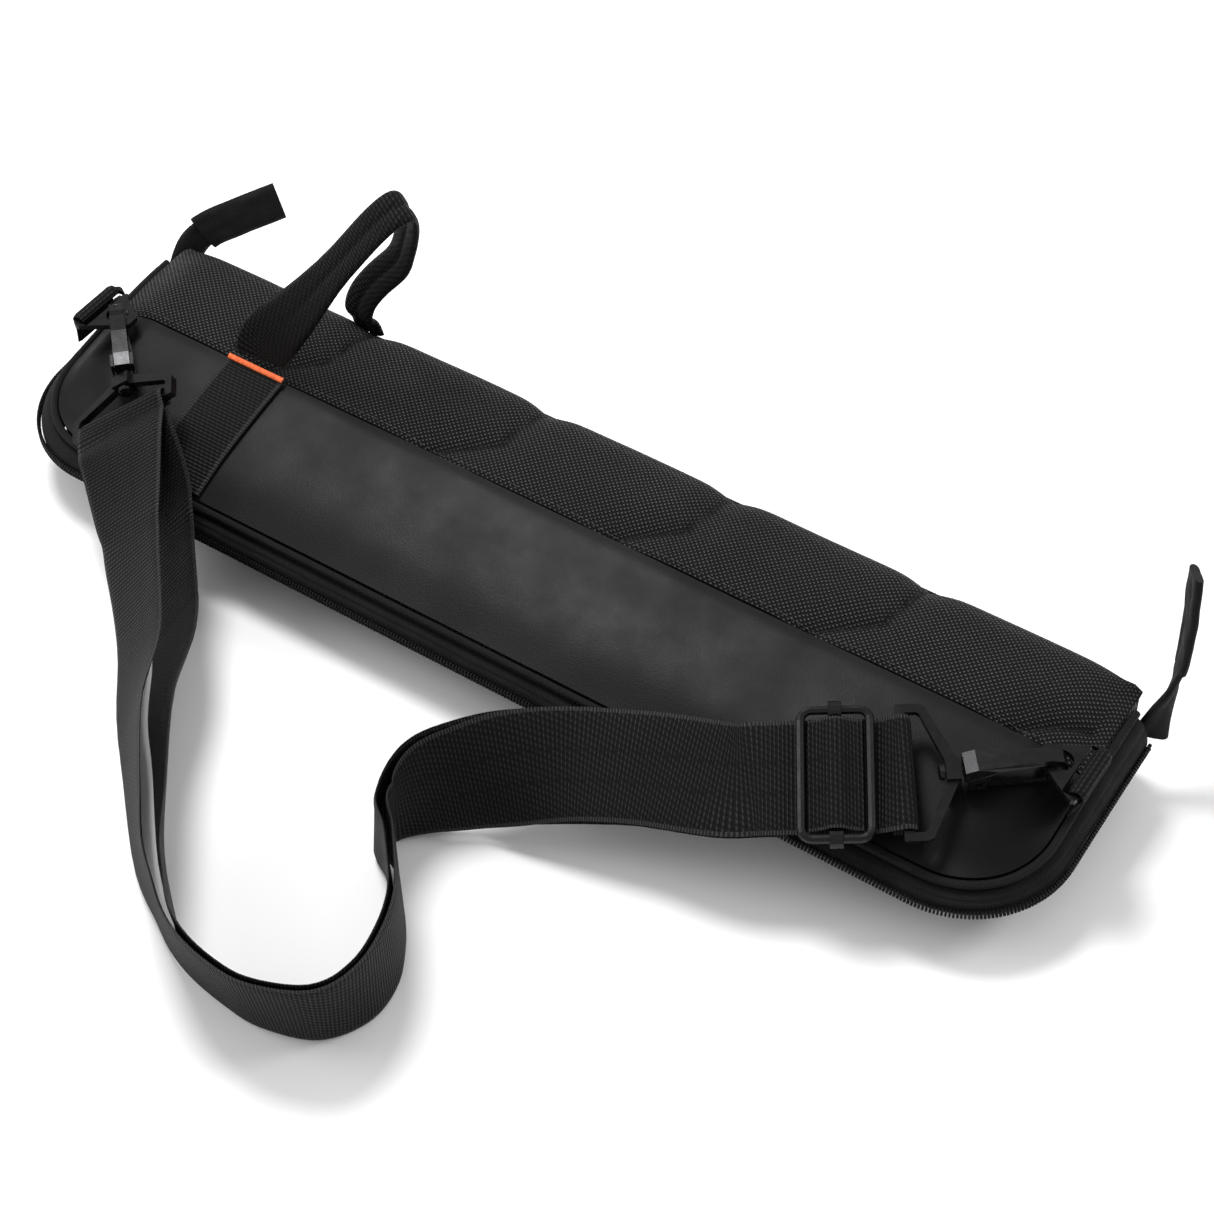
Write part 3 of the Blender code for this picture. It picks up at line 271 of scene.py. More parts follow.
def smooth_points(points, per_span):
    """Catmull-Rom curve through a few points."""
    result = []
    count = len(points)
    for k in range(count - 1):
        p0, p1, p2, p3 = (Vector(points[max(k - 1, 0)]), Vector(points[k]),
                          Vector(points[k + 1]), Vector(points[min(k + 2, count - 1)]))
        for s in range(per_span):
            t = s / per_span
            result.append(0.5 * (2 * p1 + (p2 - p0) * t + (2 * p0 - 5 * p1 + 4 * p2 - p3) * t * t
                                 + (3 * p1 - p0 - 3 * p2 + p3) * t**3))
    result.append(Vector(points[-1]))
    return result


def tangents(points):
    last = len(points) - 1
    return [(points[min(k + 1, last)] - points[max(k - 1, 0)]).normalized()
            for k in range(last + 1)]


def framed(points, widths):
    """Centre, width direction and face normal at each point of a ribbon."""
    result = []
    for centre, ahead, wide in zip(points, tangents(points), widths):
        across = (wide - ahead * wide.dot(ahead)).normalized()
        result.append((centre, across, ahead.cross(across)))
    return result


def place_at(origin, ahead, up):
    """Local frame: x ahead, z close to up."""
    ahead = Vector(ahead).normalized()
    side = Vector(up).cross(ahead).normalized()
    above = ahead.cross(side)
    turn = Matrix((ahead, side, above)).transposed().to_4x4()
    return Matrix.Translation(Vector(origin)) @ turn


def heading(yaw, pitch):
    return Vector((cos(radians(yaw)) * cos(radians(pitch)),
                   sin(radians(yaw)) * cos(radians(pitch)), sin(radians(pitch))))


# ---- the strap and its hardware
HOLE_Z = DEE_Z + HOLE_RISE
GRAB = 0.0012                 # the dee rides this far off the hook's axis
RIGHT_HOLE = Vector((DEE_X["right"] - DEE_HOLE_AT, DEE_Y["right"], HOLE_Z))
LEFT_HOLE = Vector((DEE_HOLE_AT - DEE_X["left"], DEE_Y["left"], HOLE_Z))
RIGHT_AIM = heading(37.5, 1.0)
LEFT_AIM = heading(134, 6.0)
HOOKS = {
    "right": place_at(RIGHT_HOLE - Vector((0, 0, GRAB)) - RIGHT_AIM * HOOK_LEN, RIGHT_AIM,
                      (0, 0, 1)),
    "left": place_at(LEFT_HOLE + Vector((0, 0, GRAB)) - LEFT_AIM * HOOK_LEN, LEFT_AIM,
                     (0, 0, -1)),
}
STRAP_YAW = 34
STRAP_UP = (0.195, -0.278, 1)
BRACKETS = {
    "right": place_at(HOOKS["right"].translation, heading(STRAP_YAW, 3.0), STRAP_UP),
    "left": place_at(HOOKS["left"].translation, heading(128, 6.0), (-0.37, -0.40, 0.84)),
}
BAR_AT = -(BRACKET_DEPTH - BAR_R)
WRAP_R = BAR_R * 1.42 + FIT_GAP + WEB_T / 2
SLIDER_BACK = 0.0242          # slider centre to the right bracket's bar
RIGHT_BAR = BRACKETS["right"] @ Vector((BAR_AT, 0, 0))
LEFT_BAR = BRACKETS["left"] @ Vector((BAR_AT, 0, 0))
SLIDER_DIR = heading(30, 6.0)
SLIDER_AT = RIGHT_BAR - SLIDER_DIR * SLIDER_BACK + Vector((0, 0, 0.0006))
SLIDER_PLACE = place_at(SLIDER_AT, SLIDER_DIR, STRAP_UP)
LEFT_WIDE = BRACKETS["left"].to_3x3() @ Vector((0, -1, 0))
UNDER_FRAME = SLIDER_R + FIT_GAP + WEB_T / 2
STRAP_ROUTE = [
    # centre of the strap, and the way its width points
    ((-0.1646, -0.0541, 0.0495), (0.80, 0.28, 0.52)),
    ((-0.1463, -0.0732, 0.0412), (0.85, -0.04, 0.52)),
    ((-0.1355, -0.0847, 0.0345), (0.80, -0.10, 0.58)),
    ((-0.1118, -0.1107, 0.0240), (0.70, -0.15, 0.69)),
    ((-0.0890, -0.1429, 0.0210), (0.57, -0.27, 0.77)),
    ((-0.0519, -0.1833, 0.0208), (0.46, -0.25, 0.85)),
    ((-0.0281, -0.2018, 0.0214), (0.32, -0.22, 0.92)),
    ((-0.0098, -0.2120, 0.0220), (0.22, -0.20, 0.95)),
    ((0.0112, -0.2166, 0.0222), (0.18, -0.20, 0.96)),
    ((0.0278, -0.2162, 0.0222), (0.15, -0.17, 0.97)),
    ((0.0465, -0.2083, 0.0224), (0.10, -0.14, 0.98)),
    ((0.0542, -0.1929, 0.0224), (0.02, -0.22, 0.97)),
    ((0.0529, -0.1753, 0.0222), (0.05, -0.28, 0.95)),
    ((0.0451, -0.1592, 0.0220), (0.18, -0.30, 0.93)),
    ((0.0290, -0.1400, 0.0222), (0.24, -0.26, 0.93)),
    ((0.0172, -0.1275, 0.0226), (0.14, -0.08, 0.98)),
    ((0.0208, -0.1110, 0.0236), (-0.14, 0.18, 0.97)),
    ((0.0334, -0.0961, 0.0252), (-0.26, 0.42, 0.87)),
    ((0.0465, -0.0845, 0.0265), (-0.39, 0.64, 0.66)),
    ((0.0610, -0.0752, 0.0285), (-0.46, 0.76, 0.46)),
    ((0.0769, -0.0687, 0.0317), (-0.49, 0.79, 0.36)),
    ((0.0934, -0.0635, 0.0353), (-0.50, 0.79, 0.34)),
]


def strap_centre():
    """Frames of the strap's middle, from the left bracket to the slider."""
    slider_wide = SLIDER_PLACE.to_3x3() @ Vector((0, 1, 0))
    below = -UNDER_FRAME - (WEB_T + LAYER_GAP) / 2
    lead = LEFT_BAR + (BRACKETS["left"].to_3x3() @ Vector((-0.0078, 0, 0.0006)))
    centres = [lead] + [Vector(c) for c, w in STRAP_ROUTE]
    wides = [LEFT_WIDE] + [Vector(w) for c, w in STRAP_ROUTE]
    for back in (0.0400, 0.0280, 0.0160):
        centres.append(SLIDER_PLACE @ Vector((-back, 0, below)))
        wides.append(slider_wide)
    return framed(smooth_points(centres, 5), smooth_points(wides, 5))


def layer_spread(share):
    """Extra room between the two layers, where the slack parts them."""
    left = 0.0008 * (1 - smooth(share / 0.20))
    left += 0.0130 * smooth(share / 0.08) * (1 - smooth((share - 0.14) / 0.20))
    bend = 0.0030 * smooth((share - 0.55) / 0.12) * (1 - smooth((share - 0.80) / 0.08))
    return left + bend


def above_floor(centre, wide, face):
    """Lift a point of the strap so that its lower edge clears the floor."""
    lowest = abs(wide.z) * STRAP_W / 2 + abs(face.z) * WEB_T / 2 + FLOOR_GAP
    return Vector((centre.x, centre.y, max(centre.z, lowest)))


def wrap(place, start_deg, end_deg, steps=7):
    """Centre line of a webbing turn round a bracket's bar."""
    points = []
    for k in range(steps):
        angle = radians(lerp(start_deg, end_deg, k / (steps - 1)))
        points.append(place @ Vector((BAR_AT + WRAP_R * cos(angle), 0, WRAP_R * sin(angle))))
    return points


# ---- the handle
HANDLE_SPLIT = 3              # step along the line where each foot ends
HANDLE_X = -0.1495
HANDLE_FOOT = Vector((HANDLE_X, TRIM_SEAM_Y + 0.0022, 0))
HANDLE_BACK = Vector((HANDLE_X + 0.0190, SPINE_Y - 0.0030, 0))
HANDLE_LEAN = Vector((0.52, 0.125, 1.0)).normalized()
HANDLE_SHAPE = [(0.0, 0.0012), (0.0012, 0.0100), (0.0045, 0.0330), (0.0080, 0.0560),
                (0.0125, 0.0715), (0.0165, 0.0845), (0.0220, 0.0920), (0.0285, 0.0905),
                (0.0345, 0.0815), (0.0405, 0.0680), (0.0455, 0.0530), (0.0490, 0.0390),
                (0.0500, 0.0250), (0.0483, 0.0120), (0.0470, 0.0020), (0.0502, -0.0026)]


def handle_feet():
    foot = HANDLE_FOOT.copy()
    foot.z = top_z(foot.x, foot.y) + 0.0022
    back = HANDLE_BACK.copy()
    back.z = TOP_Z + 0.0008
    return foot, back


def handle_line():
    """Centre line of the handle, from its front foot over to its back foot."""
    foot, back = handle_feet()
    run = (back - foot).normalized()
    share = (back - foot).length / HANDLE_SHAPE[-2][0]
    points = []
    for u, v in HANDLE_SHAPE:
        lean = HANDLE_LEAN.copy()
        lean.x *= smooth(v / 0.040)
        points.append(foot + run * (u * share) + lean * v)
    return smooth_points(points, 2)


# ---- the zip tails
TAIL_ROUTES = {
    # past the end of the panel, past the spine, and height
    "right": [(0.0065, 0.0010, 0.0290), (0.0080, 0.0077, 0.0430), (0.0078, 0.0127, 0.0555),
              (0.0060, 0.0180, 0.0665), (0.0020, 0.0255, 0.0865)],
    "left": [(0.0045, 0.0010, 0.0290), (0.0022, 0.0073, 0.0405), (-0.0032, 0.0130, 0.0475),
             (-0.0105, 0.0230, 0.0505), (-0.0225, 0.0390, 0.0545)],
}
TAIL_WIDE = {"right": ((-0.1, 0.75, -0.65), (-0.40, 0.60, -0.70)),
             "left": ((-0.2, -0.6, 0.7), (-0.45, 0.1, 0.85))}


def tail_points(side):
    sign = 1 if side == "right" else -1
    return [Vector((sign * (HALF_L + x), SPINE_Y + y, z)) for x, y, z in TAIL_ROUTES[side]]


# ---- procedural materials
class Shade:
    """A material with small helpers for maths on its surface coordinates."""

    def __init__(self, name, colour, rough, metal=0.0, specular=0.5):
        self.mat = bpy.data.materials.new(name)
        self.mat.use_nodes = True
        self.tree = self.mat.node_tree
        self.bsdf = self.tree.nodes["Principled BSDF"]
        self.bsdf.inputs["Base Color"].default_value = (*colour, 1)
        self.bsdf.inputs["Roughness"].default_value = rough
        self.bsdf.inputs["Metallic"].default_value = metal
        self.bsdf.inputs["Specular IOR Level"].default_value = specular
        self.mat.diffuse_color = (*colour, 1)

    def node(self, kind, **settings):
        made = self.tree.nodes.new(kind)
        for key, value in settings.items():
            setattr(made, key, value)
        return made

    def link(self, source, target):
        self.tree.links.new(source, target)

    def feed(self, target, value):
        """Give an input a number or the output of another node."""
        if isinstance(value, (int, float)):
            target.default_value = value
        else:
            self.link(value, target)

    def math(self, operation, a, b=None):
        made = self.node("ShaderNodeMath", operation=operation)
        self.feed(made.inputs[0], a)
        if b is not None:
            self.feed(made.inputs[1], b)
        return made.outputs[0]

    def uv(self):
        split = self.node("ShaderNodeSeparateXYZ")
        self.link(self.node("ShaderNodeUVMap", uv_map="cloth").outputs[0], split.inputs[0])
        return split.outputs[0], split.outputs[1]

    def wave(self, value, pitch):
        return self.math("SINE", self.math("MULTIPLY", value, 2 * pi / pitch))

    def noise(self, scale, detail=3.0, rough=0.55):
        made = self.node("ShaderNodeTexNoise")
        made.inputs["Scale"].default_value = scale
        made.inputs["Detail"].default_value = detail
        made.inputs["Roughness"].default_value = rough
        place = self.node("ShaderNodeTexCoord")
        self.link(place.outputs["Object"], made.inputs["Vector"])
        return made.outputs["Fac"]

    def ramp(self, value, stops):
        made = self.node("ShaderNodeValToRGB")
        points = made.color_ramp.elements
        while len(points) < len(stops):
            points.new(0.5)
        for point, (place, grey) in zip(points, stops):
            point.position = place
            tone = grey if hasattr(grey, "__len__") else (grey, grey, grey)
            point.color = (*tone, 1)
        self.link(value, made.inputs[0])
        return made.outputs[0]

    def mix(self, share, a, b, kind="MIX"):
        made = self.node("ShaderNodeMix", data_type="RGBA", blend_type=kind)
        self.feed(made.inputs["Factor"], share)
        self.feed(made.inputs["A"], a)
        self.feed(made.inputs["B"], b)
        return made.outputs["Result"]

    def scaled(self, tone, share):
        return self.mix(1.0, tone, share, "MULTIPLY")

    def colour(self, tone):
        self.link(tone, self.bsdf.inputs["Base Color"])

    def roughness(self, value):
        self.link(value, self.bsdf.inputs["Roughness"])

    def bump(self, height, distance, strength=1.0, under=None):
        made = self.node("ShaderNodeBump")
        made.inputs["Strength"].default_value = strength
        made.inputs["Distance"].default_value = distance
        self.link(height, made.inputs["Height"])
        if under is not None:
            self.link(under, made.inputs["Normal"])
        self.link(made.outputs[0], self.bsdf.inputs["Normal"])
        return made.outputs[0]


def near(shade, value, middle, width):
    """1 close to a line of the cloth, 0 away from it."""
    away = shade.math("ABSOLUTE", shade.math("SUBTRACT", value, middle))
    return shade.math("LESS_THAN", away, width)


def nylon():
    shade = Shade("nylon_weave", (0.010, 0.010, 0.011), 0.62, specular=0.16)
    u, v = shade.uv()
    weave = shade.math("MULTIPLY", shade.wave(u, 0.0023), shade.wave(v, 0.0021))
    dots = shade.ramp(weave, [(0.30, (0.0030, 0.0030, 0.0034)), (0.80, (0.095, 0.092, 0.098))])
    tone = shade.ramp(shade.noise(30), [(0.3, 0.72), (0.7, 1.0)])
    yarn = shade.ramp(shade.noise(900, 2), [(0.3, 0.6), (0.7, 1.0)])
    # Painted shade: the nylon colour darkens towards each sewn quilting line, standing in for shade in
    # the grooves.
    crease = shade.node("ShaderNodeAttribute", attribute_name="crease")
    groove_shade = shade.ramp(crease.outputs["Fac"], [(0.0, 1.0), (0.5, 0.45), (1.0, 0.12)])
    shade.colour(shade.scaled(shade.scaled(shade.scaled(dots, tone), yarn), groove_shade))
    shade.roughness(shade.ramp(weave, [(0.0, 0.75), (1.0, 0.50)]))
    shade.bump(shade.math("ABSOLUTE", weave), 0.0005, 0.8)
    shade.bsdf.inputs["Sheen Weight"].default_value = 0.01
    shade.bsdf.inputs["Sheen Roughness"].default_value = 0.5
    return shade.mat


def leatherette():
    shade = Shade("leatherette", (0.006, 0.0057, 0.0062), 0.42, specular=0.10)
    mottle = shade.noise(24, 4)
    grain = shade.noise(1500, 4)
    shade.colour(shade.ramp(mottle, [(0.30, (0.0034, 0.0030, 0.0036)),
                                     (0.72, (0.0074, 0.0068, 0.0078))]))
    shade.roughness(shade.ramp(shade.noise(60, 5), [(0.25, 0.36), (0.75, 0.48)]))
    soft = shade.bump(shade.noise(16, 2), 0.0030, 0.30)
    shade.bump(grain, 0.00022, 0.35, soft)
    return shade.mat


def lining():
    shade = Shade("brushed_lining", (0.030, 0.030, 0.032), 0.95, specular=0.15)
    shade.colour(shade.ramp(shade.noise(420, 5), [(0.3, (0.018, 0.018, 0.019)),
                                                  (0.75, (0.048, 0.048, 0.051))]))
    shade.bump(shade.noise(700, 5), 0.0005, 0.7)
    shade.bsdf.inputs["Sheen Weight"].default_value = 0.12
    return shade.mat


def tape():
    shade = Shade("woven_tape", (0.008, 0.008, 0.0085), 0.72, specular=0.14)
    u, v = shade.uv()
    ribs = shade.math("MULTIPLY", shade.wave(u, 0.0011), shade.wave(v, 0.0016))
    shade.colour(shade.ramp(ribs, [(0.2, (0.0045, 0.0045, 0.0048)), (0.9, (0.016, 0.016, 0.017))]))
    shade.roughness(shade.ramp(shade.noise(120), [(0.3, 0.62), (0.7, 0.80)]))
    shade.bump(shade.math("ABSOLUTE", ribs), 0.00025, 0.7)
    return shade.mat


def coil_plastic():
    shade = Shade("coil_plastic", (0.005, 0.005, 0.005), 0.5, specular=0.15)
    shade.colour(shade.ramp(shade.noise(300), [(0.3, (0.003, 0.003, 0.003)),
                                               (0.7, (0.007, 0.007, 0.0075))]))
    shade.bump(shade.noise(1400), 0.0001, 0.3)
    return shade.mat


def webbing(name, lines, half):
    shade = Shade(name, (0.008, 0.008, 0.0085), 0.60, specular=0.12)
    u, v = shade.uv()
    rib = shade.wave(u, 0.0015)
    twill = shade.wave(shade.math("ADD", v, shade.math("MULTIPLY", u, 0.5)), 0.0024)
    weave = shade.math("ADD", shade.math("MULTIPLY", rib, 0.7), shade.math("MULTIPLY", twill, 0.3))
    cloth = shade.ramp(weave, [(0.0, (0.0012, 0.0012, 0.0014)), (0.50, (0.0050, 0.0050, 0.0055)),
                               (1.0, (0.0230, 0.0225, 0.0240))])
    tone = shade.ramp(shade.noise(45), [(0.3, 0.75), (0.7, 1.0)])
    cloth = shade.scaled(cloth, tone)
    height = weave
    if lines:
        stitch = None
        for line in lines:
            here = near(shade, v, line, 0.0008)
            stitch = here if stitch is None else shade.math("MAXIMUM", stitch, here)
        dash = shade.math("GREATER_THAN", shade.wave(u, 0.0034), -0.25)
        stitch = shade.math("MULTIPLY", stitch, dash)
        thread = shade.ramp(shade.noise(500), [(0.3, (0.0008, 0.0008, 0.0009)),
                                               (0.7, (0.0020, 0.0020, 0.0022))])
        cloth = shade.mix(stitch, cloth, thread)
        height = shade.math("SUBTRACT", weave, shade.math("MULTIPLY", stitch, 2.5))
    # Painted highlight: a lighter strip of colour along both edges of the webbing.
    edge = shade.math("GREATER_THAN", shade.math("ABSOLUTE", v), half - 0.0016)
    painted_edge_highlight = shade.ramp(shade.wave(u, 0.0011), [(0.0, (0.008, 0.008, 0.0085)), (1.0, (0.040, 0.040, 0.042))])
    shade.colour(shade.mix(edge, cloth, painted_edge_highlight))
    shade.roughness(shade.ramp(rib, [(0.0, 0.72), (1.0, 0.50)]))
    shade.bump(height, 0.00022, 0.8)
    shade.bsdf.inputs["Sheen Weight"].default_value = 0.01
    return shade.mat


def thread(name, low, high):
    shade = Shade(name, high, 0.55, specular=0.3)
    shade.colour(shade.ramp(shade.noise(900), [(0.3, low), (0.7, high)]))
    shade.bump(shade.noise(2500, 2), 0.0001, 0.5)
    shade.bsdf.inputs["Sheen Weight"].default_value = 0.1
    return shade.mat


def metal(name, colour, low, high):
    shade = Shade(name, colour, 0.34, metal=0.75, specular=0.5)
    darker = tuple(0.75 * c for c in colour)
    shade.colour(shade.ramp(shade.noise(160, 4), [(0.3, darker), (0.7, colour)]))
    shade.roughness(shade.ramp(shade.noise(260, 5), [(0.3, low), (0.7, high)]))
    shade.bump(shade.noise(1800, 3), 0.00004, 0.3)
    return shade.mat


# ---- making pieces
def make(name, verts, faces, uvs, mat, body, slot, stands=(), sharp=50):
    mesh = bpy.data.meshes.new(name)
    mesh.from_pydata([tuple(v) for v in verts], [], faces)
    layer = mesh.uv_layers.new(name="cloth")
    for loop in mesh.loops:
        layer.data[loop.index].uv = uvs[loop.vertex_index]
    bm = bmesh.new()
    bm.from_mesh(mesh)
    bmesh.ops.recalc_face_normals(bm, faces=bm.faces)
    bm.to_mesh(mesh)
    bm.free()
    mesh.shade_smooth()
    mesh.set_sharp_from_angle(angle=radians(sharp))
    mesh.materials.append(mat)
    obj = bpy.data.objects.new(name, mesh)
    bpy.context.collection.objects.link(obj)
    if body:
        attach(obj, body)
    if stands:
        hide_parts(*stands)
    return obj


def lengths(row):
    """Running length along a row of points."""
    total = 0.0
    result = [0.0]
    for a, b in zip(row, row[1:]):
        total += (Vector(b) - Vector(a)).length
        result.append(total)
    return result


def sheet_solid(outer, inner, along_x=True):
    """Vertices, faces and cloth coordinates of a padded sheet from two grids."""
    rows, cols = len(outer), len(outer[0])
    verts = [Vector(p) for row in outer for p in row] + [Vector(p) for row in inner for p in row]
    off = rows * cols
    faces = []
    for i in range(rows - 1):
        for j in range(cols - 1):
            a, b, c, d = i * cols + j, (i + 1) * cols + j, (i + 1) * cols + j + 1, i * cols + j + 1
            faces += [(a, b, c, d), (off + a, off + d, off + c, off + b)]
    for i in range(rows - 1):
        for j in (0, cols - 1):
            a, b = i * cols + j, (i + 1) * cols + j
            faces.append((a, off + a, off + b, b))
    for j in range(cols - 1):
        for i in (0, rows - 1):
            a = i * cols + j
            faces.append((a, a + 1, off + a + 1, off + a))
    uvs = []
    for grid in (outer, inner):
        if along_x:
            for row in grid:
                uvs += [(p[0], s) for p, s in zip(row, lengths(row))]
        else:
            run = lengths([row[cols // 2] for row in grid])
            for i, row in enumerate(grid):
                across = lengths(row)
                uvs += [(run[i], s - across[-1] / 2) for s in across]
    return verts, faces, uvs


def ring_faces(rings, count, base=0):
    """Faces of a closed tube through rings of points, with both ends shut."""
    faces = []
    for k in range(rings - 1):
        row = base + k * count
        for j in range(count):
            i = (j + 1) % count
            faces.append((row + j, row + i, row + count + i, row + count + j))
    faces.append(tuple(base + j for j in range(count)))
    last = base + (rings - 1) * count
    faces.append(tuple(last + j for j in reversed(range(count))))
    return faces


def swept(frames, section):
    """Vertices, faces and cloth coordinates of a section swept along frames."""
    verts, uvs = [], []
    run = lengths([f[0] for f in frames])
    for k, (centre, axis_a, axis_b) in enumerate(frames):
        for a, b in section:
            verts.append(centre + axis_a * a + axis_b * b)
            uvs.append((run[k], a))
    return verts, ring_faces(len(frames), len(section)), uvs


def web_section(width, thick, steps=14):
    """Flat webbing with a soft rounded edge."""
    half, deep = width / 2, thick / 2
    upper = []
    for k in range(steps + 1):
        a = lerp(-half, half, k / steps)
        edge = min(1.0, (half - abs(a)) / (0.9 * thick))
        upper.append((a, deep * sqrt(max(0.06, 1 - (1 - edge) ** 2))))
    return upper + [(a, -b) for a, b in reversed(upper)]


def resample(points, widths, step):
    """Even spacing along a ribbon's centre line."""
    run = lengths(points)
    count = max(4, int(run[-1] / step))
    k = 0
    new_points, new_widths = [], []
    for n in range(count + 1):
        at = run[-1] * n / count
        while k < len(run) - 2 and run[k + 1] < at:
            k += 1
        t = (at - run[k]) / max(1e-9, run[k + 1] - run[k])
        new_points.append(Vector(points[k]).lerp(Vector(points[k + 1]), t))
        new_widths.append(Vector(widths[k]).lerp(Vector(widths[k + 1]), t))
    return new_points, new_widths


# ---- quilted and smooth covers
CHEVRON_STARTS = (-0.153, -0.066, 0.021, 0.108, 0.195)
CHEVRON_SHAPE = ((0.0, TRIM_SEAM_Y), (0.0250, 0.0305), (0.0310, SPINE_Y + 0.002))


def chevron_distance(x, y):
    best = 1.0
    for start in CHEVRON_STARTS:
        for (x0, y0), (x1, y1) in zip(CHEVRON_SHAPE, CHEVRON_SHAPE[1:]):
            if start + x1 > HALF_L - 0.006:
                continue
            from_x, from_y = x - (x0 + start), y - y0
            dx, dy = (x1 + start) - (x0 + start), y1 - y0
            t = clamp((from_x * dx + from_y * dy) / (dx * dx + dy * dy))
            best = min(best, hypot(from_x - dx * t, from_y - dy * t))
    return best


def quilt(x, y):
    """Sunk sewn line, with the padding swelling softly beside it."""
    d = chevron_distance(x, y)
    seam = max(0.0, y - TRIM_SEAM_Y)
    sunk = 0.0014 * exp(-(d / 0.0016) ** 2) + 0.0022 * exp(-(d / 0.0085) ** 2)
    lump = 0.0006 * noise.noise(Vector((x * 22, y * 30, 1.7)))
    return lump - sunk - 0.0010 * exp(-(seam / 0.0022) ** 2)


def dent(x, y):
    """Slow unevenness of the smooth cover over its foam."""
    soft = 0.0011 * noise.noise(Vector((x * 11, y * 17, 5.2)))
    fine = 0.00035 * noise.noise(Vector((x * 34, y * 30, 2.1)))
    seam = max(0.0, TRIM_SEAM_Y - y)
    return soft + fine - 0.0007 * exp(-(seam / 0.0030) ** 2)


def cloth_y(y, z):
    """Place across the cloth, carried on down the roll to the spine."""
    return y + (max(0.0, TOP_Z - z) * 0.8 if y > RIDGE_Y else 0.0)


def cover(name, lines, thickness, inward, mat, body, slot, stands, relief, rolled=False):
    outer, inner = [], []
    for x, line in lines:
        if rolled:
            deep = rolled_inside(line, thickness, inward)
        else:
            deep = offset_line(line, inward * thickness)
        skin = offset_line(line, 0.0001)
        row = []
        last = len(line) - 1
        for k, (y, z) in enumerate(skin):
            y0, z0 = line[max(k - 1, 0)]
            y1, z1 = line[min(k + 1, last)]
            run = hypot(y1 - y0, z1 - z0)
            ny, nz = -(z1 - z0) / run, (y1 - y0) / run
            rise = relief(x, cloth_y(y, z)) * clamp(edge_distance(x, y) / 0.006) * -inward
            row.append((x, y + ny * rise, z + nz * rise))
        outer.append(row)
        inner.append([(x, y, z) for y, z in deep])
    obj = make(name, *sheet_solid(outer, inner), mat, body, slot, stands)
    # Painted shade in the quilting grooves: this attribute darkens the nylon colour close to each sewn
    # chevron line.
    if rolled and relief is quilt:
        painted_groove_shade = obj.data.attributes.new("crease", "FLOAT", "POINT")
        for vert in obj.data.vertices:
            x, y, z = vert.co
            near_seam = chevron_distance(x, cloth_y(y, z)) / 0.0011
            painted_groove_shade.data[vert.index].value = exp(-near_seam ** 2)
    return obj


def covers(looks):
    count = 230
    cover("cover_leather", cover_lines(count, None, TRIM_SEAM_Y - FIT_GAP, 34, True), PAD_T, -1,
          looks["leather"], "front_cover", "leatherette", ("front_panel",), dent)
    cover("cover_quilted", cover_lines(count, TRIM_SEAM_Y + FIT_GAP, RIDGE_Y, 26, True, True),
          PAD_T, -1, looks["nylon"], "front_cover", "nylon", ("front_nylon_panel",), quilt, True)
    cover("back_leather", cover_lines(160, None, RIDGE_Y, 30, False, True), PAD_T, 1,
          looks["leather"], "back", "leatherette", ("back_panel",),
          lambda x, y: -0.0004 * (1 + noise.noise(Vector((x * 12, y * 18, 9.0)))), True)
    low = SPINE_LOW_Z + 1.5 * FIT_GAP
    outer, inner = [], []
    for x in stations(count, HALF_L - 0.001):
        high = spine_roll(x, True)[-1][1] - 2.0 * FIT_GAP
        row, deep = [], []
        for k in range(19):
            z = lerp(high, low, k / 18)
            lump = 0.0003 * noise.noise(Vector((x * 25, z * 60, 4.0)))
            row.append((x, SPINE_Y + 0.0014 * sin(pi * k / 18) + lump, z))
            deep.append((x, SPINE_Y + 0.0014 * sin(pi * k / 18) - SPINE_T, z))
        outer.append(row)
        inner.append(deep)
    spine = make("spine_quilted", *sheet_solid(outer, inner), looks["nylon"], "spine", "nylon",
                 ("spine_panel",))


def insides(looks):
    inset = 0.014
    for upper, name in ((True, "front_lining"), (False, "back_lining")):
        side = -1 if upper else 1
        outer, inner = [], []
        for x in stations(90, HALF_L - inset):
            start = front_limit(abs(x) + inset * 0.6) + inset
            line = []
            for k in range(22):
                y = lerp(start, RIDGE_Y - 0.002, k / 21)
                line.append((y, top_z(x, y) if upper else bottom_z(x, y)))
            skin = offset_line(line, side * (PAD_T + 3 * FIT_GAP))
            deep = offset_line(skin, side * 0.0013)
            row = []
            for y, z in deep:
                row.append((x, y, z + side * 0.0004 * noise.noise(Vector((x * 30, y * 30, 3.0)))))
            outer.append(row)
            inner.append([(x, y, z) for y, z in skin])
        piece = make(name + "_cloth", *sheet_solid(outer, inner), looks["lining"],
                     "front_cover" if upper else "back", "lining", (name,))
    mouth_x = 0.115
    end_x = HALF_L - 0.028
    outer, inner = [], []
    for k in range(81):
        x = lerp(-end_x, mouth_x, k / 80)
        row, deep = [], []
        for j in range(31):
            y = lerp(-0.018, 0.036, j / 30)
            z = bottom_z(x, y) + 0.0088 + 0.003 * sin(pi * j / 30)
            edge = min(1.0, min(j, 30 - j) / 3, k / 4)
            crease = 0.0004 * noise.noise(Vector((x * 25, y * 40, 6.0)))
            deep.append((x, y, z + 0.0003))
            row.append((x, y, z + 0.0008 + (0.0013 + crease) * edge))
        outer.append(row)
        inner.append(deep)
    pocket = make("pocket_cloth", *sheet_solid(outer, inner), looks["nylon"], "back", "nylon",
                  ("stick_pocket",))
    frames = []
    for j in range(25):
        y = lerp(-0.018, 0.036, j / 24)
        frames.append((Vector((mouth_x + 0.0024, y, 0.0110 + 0.003 * sin(pi * j / 24))),
                       Vector((1, 0, 0)), UP))
    make("pocket_mouth_binding", *swept(frames, circle(0.0018, 14)), looks["tape"], "back", "tape",
         ("pocket_binding",))


# ---- edge binding, side wall and zip
TOOTH_PITCH = 0.0014


def fine_route(node):
    """Closely spaced seam line that ends where the frame's node ends."""
    low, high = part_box(node)
    return seam_route(high.y, 26, 22, 150)


